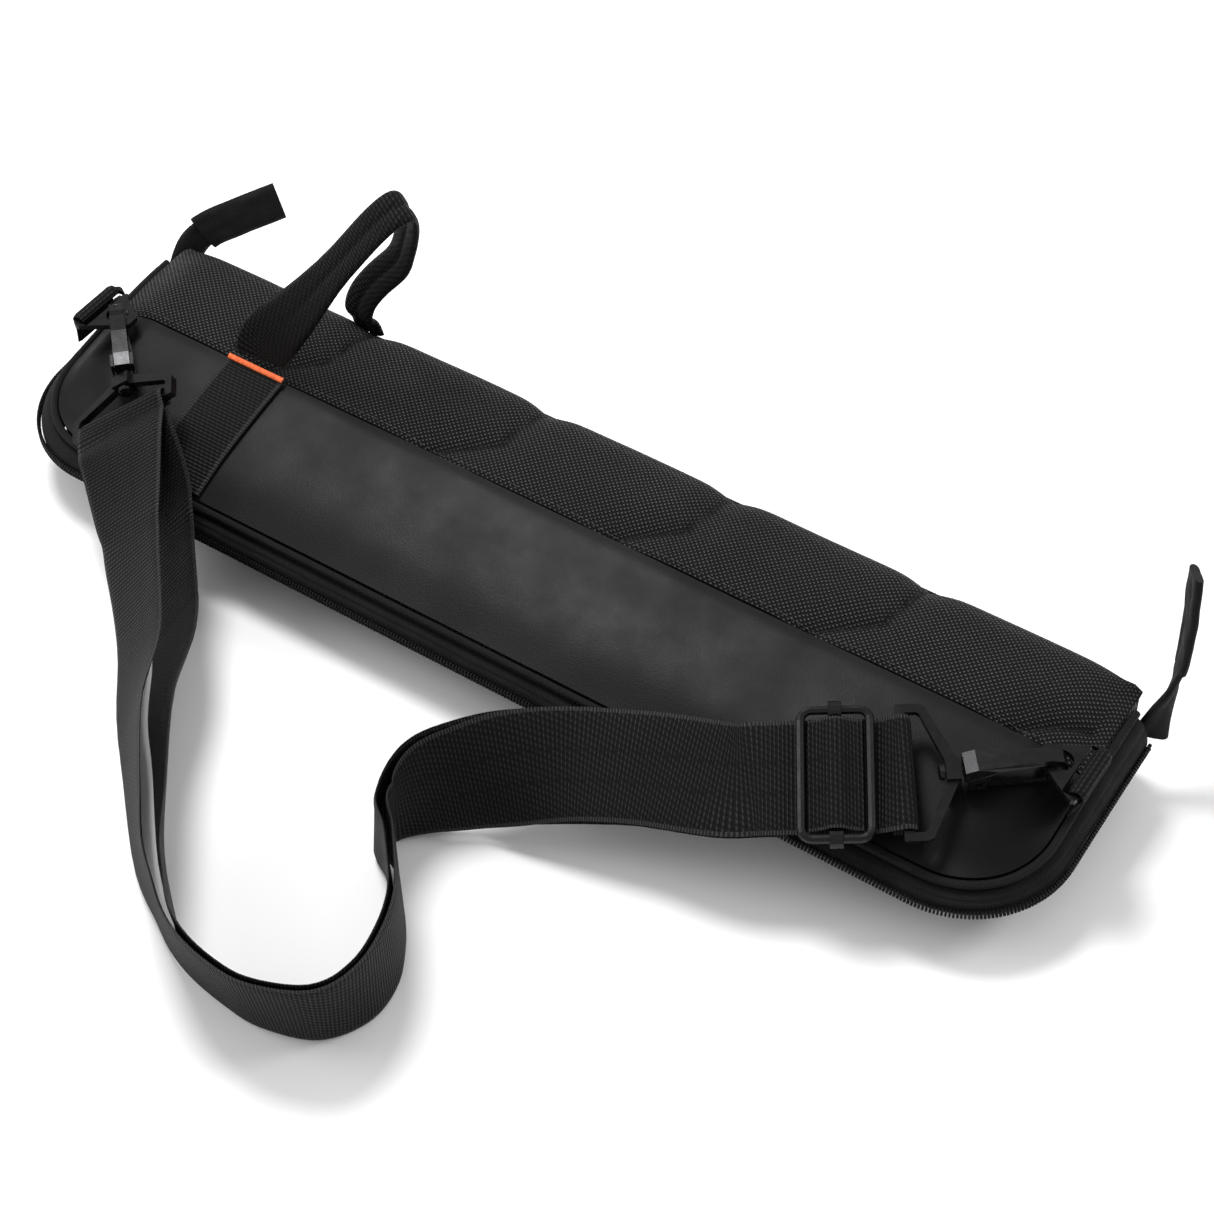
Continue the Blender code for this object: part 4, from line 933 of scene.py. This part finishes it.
def edges(looks):
    for upper, end in ((True, "front"), (False, "back")):
        body = "front_cover" if upper else "back"
        side = 1 if upper else -1
        frames = []
        for x, y, nx, ny in fine_route("piping_" + end):
            out = Vector((nx, ny, 0))
            z = seam_top_z(y) - PIPE_R if upper else seam_low_z(y) + PIPE_R
            pulse = 0.00012 * noise.noise(Vector((x * 90, y * 90, side)))
            frames.append((Vector((x, y, z + pulse)) + out * (PIPE_R + FIT_GAP), out, UP))
        make("edge_piping_" + end, *swept(frames, circle(PIPE_R * 1.02, 16)), looks["tape"], body,
             "tape", ("piping_" + end,))

        outer, inner = [], []
        for x, y, nx, ny in fine_route("gusset_" + end):
            out = Vector((nx, ny, 0))
            seam_z = seam_top_z(y) if upper else seam_low_z(y)
            start_z = seam_z - side * (2 * PIPE_R + FIT_GAP)
            end_z = zip_level(y) + side * (COIL_SPLIT / 2 + 0.0002)
            row, deep = [], []
            place = Vector((x, y, 0))
            for k in range(15):
                angle = 0.5 * pi * k / 14
                a = PIPE_R + (GUSSET_BULGE - PIPE_R) * sin(angle)
                z = lerp(end_z, start_z, cos(angle))
                step = 0.0006 * exp(-((k - 8) / 0.9) ** 2)
                wave = 0.0004 * noise.noise(Vector((x * 40, y * 40, z * 60)))
                row.append(place + out * (a - step + wave) + Vector((0, 0, z)))
                deep.append(place + out * (a - GUSSET_T) + Vector((0, 0, z)))
            outer.append(row)
            inner.append(deep)
        make("side_wall_" + end, *sheet_solid(outer, inner, False), looks["tape"], body, "tape",
             ("gusset_" + end,))
        teeth(end, side, body, looks)


def teeth(end, side, body, looks):
    """Zip coil as a row of small rounded turns."""
    points, normals = [], []
    reach = GUSSET_BULGE + FIT_GAP + COIL_H / 2
    for x, y, nx, ny in fine_route("zip_coil_" + end):
        out = Vector((nx, ny, 0))
        z = zip_level(y) + side * (COIL_SPLIT / 2 + COIL_W / 2)
        points.append(Vector((x, y, z)) + out * reach)
        normals.append(out)
    points, normals = resample(points, normals, TOOTH_PITCH)
    verts, faces, uvs = [], [], []
    ahead = tangents(points)
    for k, (centre, out, run) in enumerate(zip(points, normals, ahead)):
        out = out.normalized()
        base = len(verts)
        for a, b in circle(1.0, 8):
            ring_out = out * (a * COIL_H * 0.48)
            ring_up = UP * (b * COIL_W * 0.50)
            for lean in (-0.00038, 0.00038):
                verts.append(centre + ring_out + ring_up + run * lean)
                uvs.append((k * TOOTH_PITCH, a * 0.001))
        for j in range(8):
            i = (j + 1) % 8
            faces.append((base + 2 * j, base + 2 * i, base + 2 * i + 1, base + 2 * j + 1))
        faces.append(tuple(base + 2 * j for j in range(8)))
        faces.append(tuple(base + 2 * j + 1 for j in reversed(range(8))))
    make("zip_teeth_" + end, verts, faces, uvs, looks["coil"], body, "coil", ("zip_coil_" + end,))


# ---- stitches
def stitch_row(name, points, normals, pitch, long, radius, mat, body, slot, stands=(), turn=0.0):
    """Short threads in a row along a line on the cloth."""
    points, normals = resample(points, normals, pitch)
    ahead = tangents(points)
    verts, faces, uvs = [], [], []
    ring = circle(1.0, 6)
    for centre, up, run in zip(points, normals, ahead):
        up = up.normalized()
        across = run.cross(up).normalized()
        line = (run * cos(turn) + across * sin(turn)).normalized()
        side = line.cross(up)
        base = len(verts)
        for t, fat, lift in ((-0.5, 0.35, -0.5), (-0.3, 0.9, 0.1), (0.0, 1.0, 0.3), (0.3, 0.9, 0.1),
                             (0.5, 0.35, -0.5)):
            for a, b in ring:
                verts.append(centre + line * (t * long) + side * (a * radius * fat)
                             + up * ((b * fat + lift) * radius))
                uvs.append((t * long, a * radius))
        faces += ring_faces(5, 6, base)
    return make(name, verts, faces, uvs, mat, body, slot, stands)


def seam_stitches(looks):
    points, normals = [], []
    for x in stations(160, HALF_L - 0.004):
        y = TRIM_SEAM_Y + 0.0026
        z = top_z(x, y) + quilt(x, y) * min(1.0, edge_distance(x, y) / 0.006)
        points.append(Vector((x, y, z)))
        normals.append(Vector((0, -0.15, 1)))
    stitch_row("seam_stitches", points, normals, 0.0033, 0.0024, 0.00028, looks["dark_thread"],
               "front_cover", "tape")
    for n, start in enumerate(CHEVRON_STARTS):
        points, normals = [], []
        for (x0, y0), (x1, y1) in zip(CHEVRON_SHAPE, CHEVRON_SHAPE[1:]):
            for k in range(14):
                x, y = start + lerp(x0, x1, k / 14), lerp(y0, y1, k / 14)
                if y > RIDGE_Y or edge_distance(x, y) < 0.012:
                    continue
                z = top_z(x, y) + quilt(x, y)
                points.append(Vector((x, y, z)))
                normals.append(Vector((0, -0.1, 1)))
        if len(points) > 6:
            stitch_row("quilt_stitches_%d" % n, points, normals, 0.0030, 0.0023, 0.00024,
                       looks["dark_thread"], "front_cover", "nylon")


# ---- webbing
def web(name, points, widths, width, mat, body, stands, thick=WEB_T, step=0.003):
    points, widths = resample(points, widths, step)
    frames = framed(points, widths)
    obj = make(name, *swept(frames, web_section(width, thick)), mat, body, "webbing", stands, 70)
    return obj


def strap(looks):
    middle = strap_centre()
    half = (WEB_T + LAYER_GAP) / 2
    front = [above_floor(c + n * half, w, n) for c, w, n in middle]
    widths = [w for c, w, n in middle]
    left_turn = wrap(BRACKETS["left"], -90, 112, 12)
    through = [SLIDER_PLACE @ Vector((x, 0, -UNDER_FRAME)) for x in (-0.0060, 0.0050, 0.0152)]
    right_turn = wrap(BRACKETS["right"], 125, -90, 12)
    tail = [BRACKETS["right"] @ Vector((BAR_AT - 0.0052, 0, -WRAP_R))]
    slider_wide = SLIDER_PLACE.to_3x3() @ Vector((0, 1, 0))
    right_wide = BRACKETS["right"].to_3x3() @ Vector((0, 1, 0))
    points = left_turn + front + through + right_turn + tail
    wides = ([LEFT_WIDE] * len(left_turn) + widths + [slider_wide] * len(through)
             + [right_wide] * (len(right_turn) + len(tail)))
    web("strap_face", points, wides, STRAP_W, looks["strap"], "front_cover", ("strap_front_layer",),
        step=0.0016)
    back = []
    count = len(middle) - 1
    for k, (c, w, n) in enumerate(middle[:-1]):
        back.append(above_floor(c - n * (half + layer_spread(k / count)), w, n))
    start = BRACKETS["left"] @ Vector((BAR_AT - 0.0010, 0, -WRAP_R))
    web("strap_lining", [start] + back, [LEFT_WIDE] + widths[:-1], STRAP_W, looks["strap"],
        "front_cover", ("strap_back_layer",), step=0.0025)
    crest = BAR_R + FIT_GAP + WEB_T / 2 + 0.0004
    shape = ((-0.0098, -0.0010), (-0.0072, -0.0007), (-0.0046, 0.0006), (-0.0026, crest - 0.0008),
             (0.0, crest), (0.0026, crest - 0.0008), (0.0046, 0.0006), (0.0072, -0.0007),
             (0.0098, -0.0010))
    points = [SLIDER_PLACE @ Vector((x, 0, z)) for x, z in shape]
    web("strap_over_bar", smooth_points(points, 4), [slider_wide] * (4 * (len(points) - 1) + 1),
        STRAP_W - 0.0010, looks["strap"], "strap_slider", ("strap_bar_loop",),
        step=0.0008)
    for side in ("left", "right"):
        sign = 1 if side == "right" else -1
        bar_x = DEE_X[side] + 0.0023
        y = DEE_Y[side]
        radius = 0.0011 + DEE_T / 2 + WEB_T / 2
        points = [Vector((HALF_L + 0.0018, y, seam_top_z(y) + 0.0028))]
        for k in range(13):
            angle = radians(-50 + 200 * k / 12)
            points.append(Vector((bar_x + radius * cos(angle), y, DEE_Z + radius * sin(angle))))
        points = [Vector((sign * p.x, p.y, p.z)) for p in points]
        web("dee_webbing_" + side, points, [Vector((0, 1, 0))] * len(points), ANCHOR_W,
            looks["plain_web"], "front_cover", ("anchor_loop_" + side,),
            step=0.0006)


def handle(looks):
    foot, back = handle_feet()
    run = (back - foot).normalized()
    coarse = handle_line()
    across = run.cross(HANDLE_LEAN).normalized()
    count = len(coarse) - 1
    tucked = coarse[-1]
    coarse += [tucked + Vector((0.0006, 0.0008, -0.0030)), tucked + Vector((0.0012, 0.0012, -0.0070))]
    wides = []
    for k in range(len(coarse)):
        wides.append(Vector((1, 0, 0)).lerp(across, clamp(min(k, count - k) / 8)))
    frames = framed(coarse, wides)
    rings = []
    for k, (centre, wide, face) in enumerate(frames):
        level = smooth((k - 1) / 6)
        rings.append((centre, wide, face, lerp(HANDLE_W, GRIP_W, level), lerp(WEB_T, 2.2 * WEB_T, level)))
    fine = []
    for a, b in zip(rings, rings[1:]):
        for s in range(5):
            t = s / 5
            fine.append((a[0].lerp(b[0], t), a[1].lerp(b[1], t).normalized(),
                         a[2].lerp(b[2], t).normalized(), lerp(a[3], b[3], t), lerp(a[4], b[4], t)))
    fine.append(rings[-1])
    low, high = HANDLE_SPLIT * 5, (count - HANDLE_SPLIT) * 5
    centres = smooth_line([f[0] for f in fine], 6)
    for name, stands, first, last, body in (
            ("handle_front_foot", "handle_foot_front", 0, low, None),
            ("handle_grip", "handle_loop", low, high, "handle"),
            ("handle_back_foot", "handle_foot_back", high, len(fine) - 1, None)):
        verts, uvs = [], []
        travelled = lengths(centres)
        for k in range(first, last + 1):
            c, w, n, width, thick = fine[k]
            section = web_section(width, thick)
            fold = smooth((k - 8) / 24)
            for a, b in section:
                groove = 0.0007 * fold * exp(-(a / 0.0011) ** 2) * (1 if b > 0 else -1)
                verts.append(centres[k] + w * a + n * (b - groove))
                uvs.append((travelled[k], a))
        faces = ring_faces(last - first + 1, len(section))
        piece = make(name, verts, faces, uvs, looks["plain_web"], body, "webbing", (stands,), 70)
        if body is None:
            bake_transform(piece)
    lines, back_lines = [], []
    for k in range(29):
        x = HANDLE_X + HANDLE_W * (k / 28 - 0.5)
        row, deep = [], []
        for j in range(61):
            y = lerp(FRONT_Y + 0.0006, TRIM_SEAM_Y - 0.0004, j / 60)
            z = top_z(x, y) + FIT_GAP + 0.0004
            row.append((x, y, z + WEB_T - 0.0002))
            deep.append((x, y, z))
        lines.append(row)
        back_lines.append(deep)
    outer, inner = list(zip(*lines)), list(zip(*back_lines))
    make("handle_strip", *sheet_solid(outer, inner, False), looks["plain_web"], "front_cover",
         "webbing", ("handle_band",))
    low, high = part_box("handle_bar_tack")
    middle = (low + high) / 2
    points = [Vector((lerp(low.x + 0.0004, high.x - 0.0004, k / 10), middle.y, middle.z))
              for k in range(11)]
    slope = Vector((0, -0.22, 1))
    stitch_row("orange_bar_tack", points, [slope] * 11, 0.00062, 0.0026, 0.00044, looks["orange"],
               "front_cover", "thread", ("handle_bar_tack",), radians(78))


def smooth_line(points, rounds):
    """Relax a line between its fixed ends."""
    points = [p.copy() for p in points]
    for n in range(rounds):
        points = ([points[0]] + [(a + b * 2 + c) / 4 for a, b, c in zip(points, points[1:], points[2:])]
                  + [points[-1]])
    return points


def tails(looks):
    for side in ("left", "right"):
        points = tail_points(side)
        root = points[0] + Vector((-0.0006 if side == "right" else 0.0006, -0.0016, -0.0052))
        route = smooth_points([root] + points, 14)
        first, last = (Vector(w) for w in TAIL_WIDE[side])
        if side == "right":
            first = Vector((0.74, 0.45, -0.35))
        count = len(route) - 1
        frames = framed(route, [first.lerp(last, smooth(k / count * 1.6)) for k in range(count + 1)])
        split = count // 2 + 4
        for name, part, wide, thick, stands in (
                ("tail_tape_", frames[:split + 1], (0.0150, 0.0120), (0.0044, 0.0026), "zip_tail_"),
                ("tail_end_", frames[split - 1:], (0.0163, 0.0163), (0.0033, 0.0033), "tail_tab_")):
            verts, uvs = [], []
            run = lengths([f[0] for f in part])
            seed = 3.0 if side == "left" else 8.0
            for k, (c, w, n) in enumerate(part):
                t = k / (len(part) - 1)
                section = web_section(lerp(*wide, t), lerp(*thick, t), 12)
                for a, b in section:
                    crease = 0.0006 * noise.noise(Vector((a * 260, run[k] * 120, seed)))
                    verts.append(c + w * a + n * (b + crease))
                    uvs.append((run[k], a))
            faces = ring_faces(len(part), len(section))
            make(name + side, verts, faces, uvs, looks["tape"], "tail_" + side, "tape",
                 (stands + side,), 60)


# ---- metal parts that keep their frame shape
SIDE_METAL = ("dee_plate", "snap_hook", "hook_gate", "gate_pin", "swivel_stud", "strap_bracket")
METAL_NODES = ([part + side for part in SIDE_METAL for side in ("_left", "_right")]
               + ["slider_frame", "slider_bar"])


def keep_metal(looks):
    for names, look in ((METAL_NODES, "metal"), (("zip_slider", "zip_slider_bridge", "zip_pull"), "zip")):
        for name in names:
            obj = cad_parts[name]
            obj.data.materials.clear()
            obj.data.materials.append(looks[look])


# ---- studio
def studio():
    eye = Vector((0.3981, -0.5634, 0.7819))
    target = Vector((0.0173, 0.0190, 0.0))
    cam = bpy.data.cameras.new("camera")
    cam.lens = 77.25
    cam.sensor_width = 36
    view = bpy.data.objects.new("camera", cam)
    view.location = eye
    view.rotation_euler = (target - eye).to_track_quat("-Z", "Y").to_euler()
    bpy.context.collection.objects.link(view)
    bpy.context.scene.camera = view

    ground = bpy.data.meshes.new("ground")
    ground.from_pydata([(-6, -6, 0), (6, -6, 0), (6, 6, 0), (-6, 6, 0)], [], [(0, 1, 2, 3)])
    floor_obj = bpy.data.objects.new("ground", ground)
    bpy.context.collection.objects.link(floor_obj)
    pale = Shade("pale_floor", (0.93, 0.93, 0.93), 0.9, specular=0.0)
    ground.materials.append(pale.mat)

    world = bpy.data.worlds.new("studio")
    bpy.context.scene.world = world
    world.use_nodes = True
    world.node_tree.nodes["Background"].inputs[0].default_value = (1, 1, 1, 1)
    world.node_tree.nodes["Background"].inputs[1].default_value = 0.62
    for name, place, aim, size, power in (
            ("overhead", (-0.55, 0.25, 1.35), (-0.05, 0.0, 0.0), 0.50, 17.0),
            ("left_fill", (-1.3, -0.7, 0.9), (0, 0, 0), 0.9, 8.0),
            ("right_rim", (1.0, 0.8, 0.9), (0.1, 0, 0.03), 0.5, 6.0)):
        lamp = bpy.data.lights.new(name, "AREA")
        lamp.shape = "DISK"
        lamp.size = size
        lamp.energy = power
        obj = bpy.data.objects.new(name, lamp)
        obj.location = place
        obj.rotation_euler = (Vector(aim) - Vector(place)).to_track_quat("-Z", "Y").to_euler()
        bpy.context.collection.objects.link(obj)
    bpy.context.scene.view_settings.view_transform = "Standard"


studio()
LOOKS = {
    "nylon": nylon(),
    "leather": leatherette(),
    "lining": lining(),
    "tape": tape(),
    "coil": coil_plastic(),
    "strap": webbing("strap_webbing", (-0.0062, 0.0054), STRAP_W / 2),
    "plain_web": webbing("plain_webbing", (), HANDLE_W / 2),
    "orange": thread("orange_thread", (0.62, 0.10, 0.02), (0.90, 0.20, 0.06)),
    "dark_thread": thread("dark_thread", (0.004, 0.004, 0.0045), (0.030, 0.030, 0.032)),
    "metal": metal("gunmetal", (0.018, 0.018, 0.019), 0.20, 0.32),
    "zip": metal("painted_zip", (0.014, 0.014, 0.015), 0.32, 0.44),
}
covers(LOOKS)
insides(LOOKS)
edges(LOOKS)
seam_stitches(LOOKS)
strap(LOOKS)
handle(LOOKS)
tails(LOOKS)
keep_metal(LOOKS)
